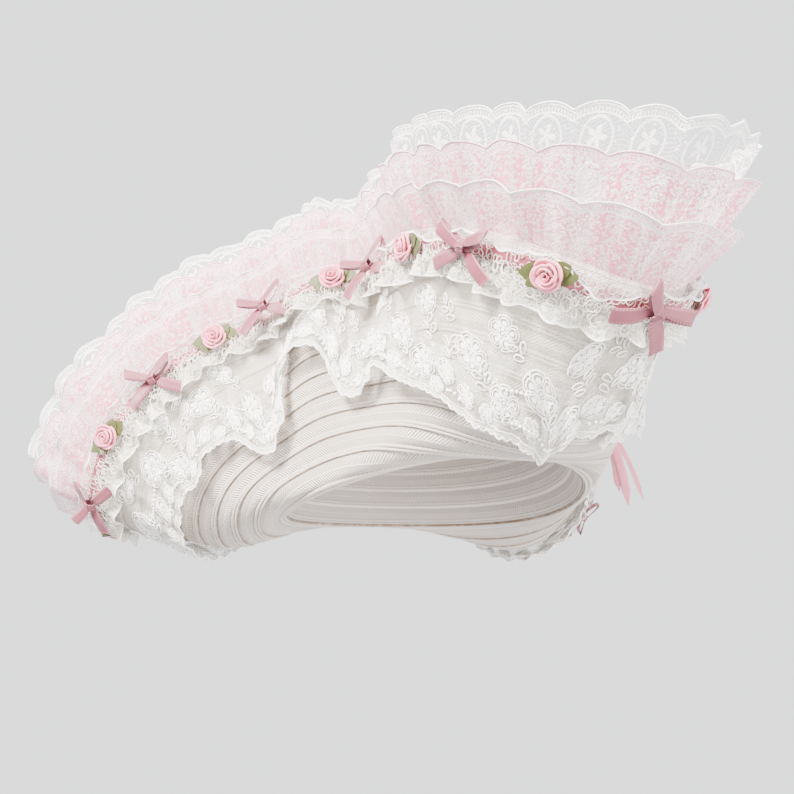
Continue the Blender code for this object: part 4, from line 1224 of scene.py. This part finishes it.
def makeOrnaments():
    roseMesh = sharedMesh("ribbonRose", roseParts(), satinMaterial("rose satin", rose["ribbon"], picot=False))
    leafMesh = sharedMesh("ribbonLeaves", leafParts(), satinMaterial("leaf satin", rose["leaf"], picot=False))
    bowMesh = sharedMesh("satinBow", bowParts(), satinMaterial("bow satin", bow["colour"]))
    for n in range(1, 17):
        node = f"rose_{n:02d}"
        turn, low, high = stationFrame(node, 2 * n - 1)
        foot = (low + high) / 2
        foot[2] = low[2] - 0.0026
        place = Matrix.Translation(turn @ Vector(foot)) @ turn.to_4x4()
        spin = Matrix.Rotation(n * 1.7, 4, "Z") @ Matrix.Scale(rose["size"], 4)
        placed(roseMesh, place @ spin, "rose_ribbon", node)
        wag = Matrix.Rotation(0.22 * sin(n * 2.3), 4, "Z")
        placed(leafMesh, place @ wag, "leaf_ribbon", f"leaves_{n:02d}")
        node = f"bow_{n:02d}"
        turn, low, high = stationFrame(node, 2 * n - 2)
        tip = bow["tip"].get(n, 0.0)  # a tied bow doesn't lie quite square to the rim
        foot = Vector(((low[0] + high[0]) / 2, high[1] - 0.0034, low[2] - 0.0005 + 0.007 * tip))
        place = Matrix.Translation(turn @ foot) @ turn.to_4x4()
        wag = Matrix.Rotation(bow["turn"].get(n, 0.26 * sin(n * 1.9 + 1)), 4, "Z")
        size = Matrix.Scale(bow["frontSize" if n == 1 else "size"], 4)
        placed(bowMesh, place @ (Matrix.Rotation(tip, 4, "Y") @ wag @ size), "bow_ribbon", node)


# long ribbon bow on the far side flap
sideBow = {
    "loop": 0.028, "width": 0.009, "colour": (0.70, 0.21, 0.29), "angle": -68,
    "tails": [  # where the end hangs, width, twist
        ((0.1475, -0.050, -0.014), 0.0070, -0.4), ((0.1425, -0.048, -0.002), 0.0074, -0.7),
        ((0.1600, -0.054, -0.010), 0.0044, -0.1)],
}


def makeSideBow():
    corners = solidPoints("side_bow")
    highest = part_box("side_bow")[1][2]
    knot = corners[corners[:, 2] > highest - 0.022].mean(0)
    angle = radians(sideBow["angle"])
    out = np.array([-sin(angle), -cos(angle), 0.0])
    side = np.array([out[1], -out[0], 0.0])
    parts = []
    s = np.linspace(0, 1, 30)
    arch = np.sin(pi * s)
    for sign in (-1, 1):
        path = knot + side * (sign * (sideBow["loop"] * arch ** 0.75))[:, None]
        path = path + out * (0.0035 * (s - 0.5) * (1 + arch))[:, None]
        path[:, 2] += -0.004 * arch ** 2 + 0.001 * sign
        across = np.tile([0.0, 0.0, 1.0], (30, 1)) + side * (0.3 * sign)
        parts.append(ribbon(path, across, sideBow["width"], taper=0.5 + 0.5 * arch ** 0.5))
    s = np.linspace(0, 1, 26)
    t = s[:, None]
    for end, width, twist in sideBow["tails"]:
        end = np.array(end)
        bend = end * 0.4 + knot * 0.6 + out * 0.008
        path = knot * (1 - t) ** 2 + bend * 2 * t * (1 - t) + end * t ** 2
        across = np.tile([cos(twist), sin(twist), 0.15], (26, 1)) + out * 0.25 * np.sin(t * 4 + twist)
        taper = np.clip((1 - s) * 9, 0.08, 1) * (0.55 + 0.45 * np.clip(s * 4, 0, 1))
        parts.append(ribbon(path, across, width, taper=taper))
    ring = np.linspace(0, 2 * pi, 15)
    path = knot + out * (0.0038 * np.cos(ring))[:, None]
    path[:, 2] += 0.0055 * np.sin(ring)
    parts.append(ribbon(path, np.tile(side, (15, 1)), 0.007, thick=0.0007))
    satin = satinMaterial("sheer ribbon", sideBow["colour"], clear=0.25)
    finishPiece(makeMesh("sideBow", *joinParts(parts), satin), "tail_ribbon", "side_bow")


makeStudio(*makeCamera())
print("camera and lights are up")
strawPaint = strawMaterial()
makeBrim(strawPaint)
makeCrown(strawPaint)
print("straw is sewn")
for frillName, frillSpec in frills.items():
    makeFrill(frillName, frillSpec)
print("frills stand on the rim")
makeRuffle()
makeGimp()
makeHeading()
makeWideLace()
print("ruffle, gimp and wide lace are on")
makeOrnaments()
makeSideBow()
print("roses, leaves and bows are on")
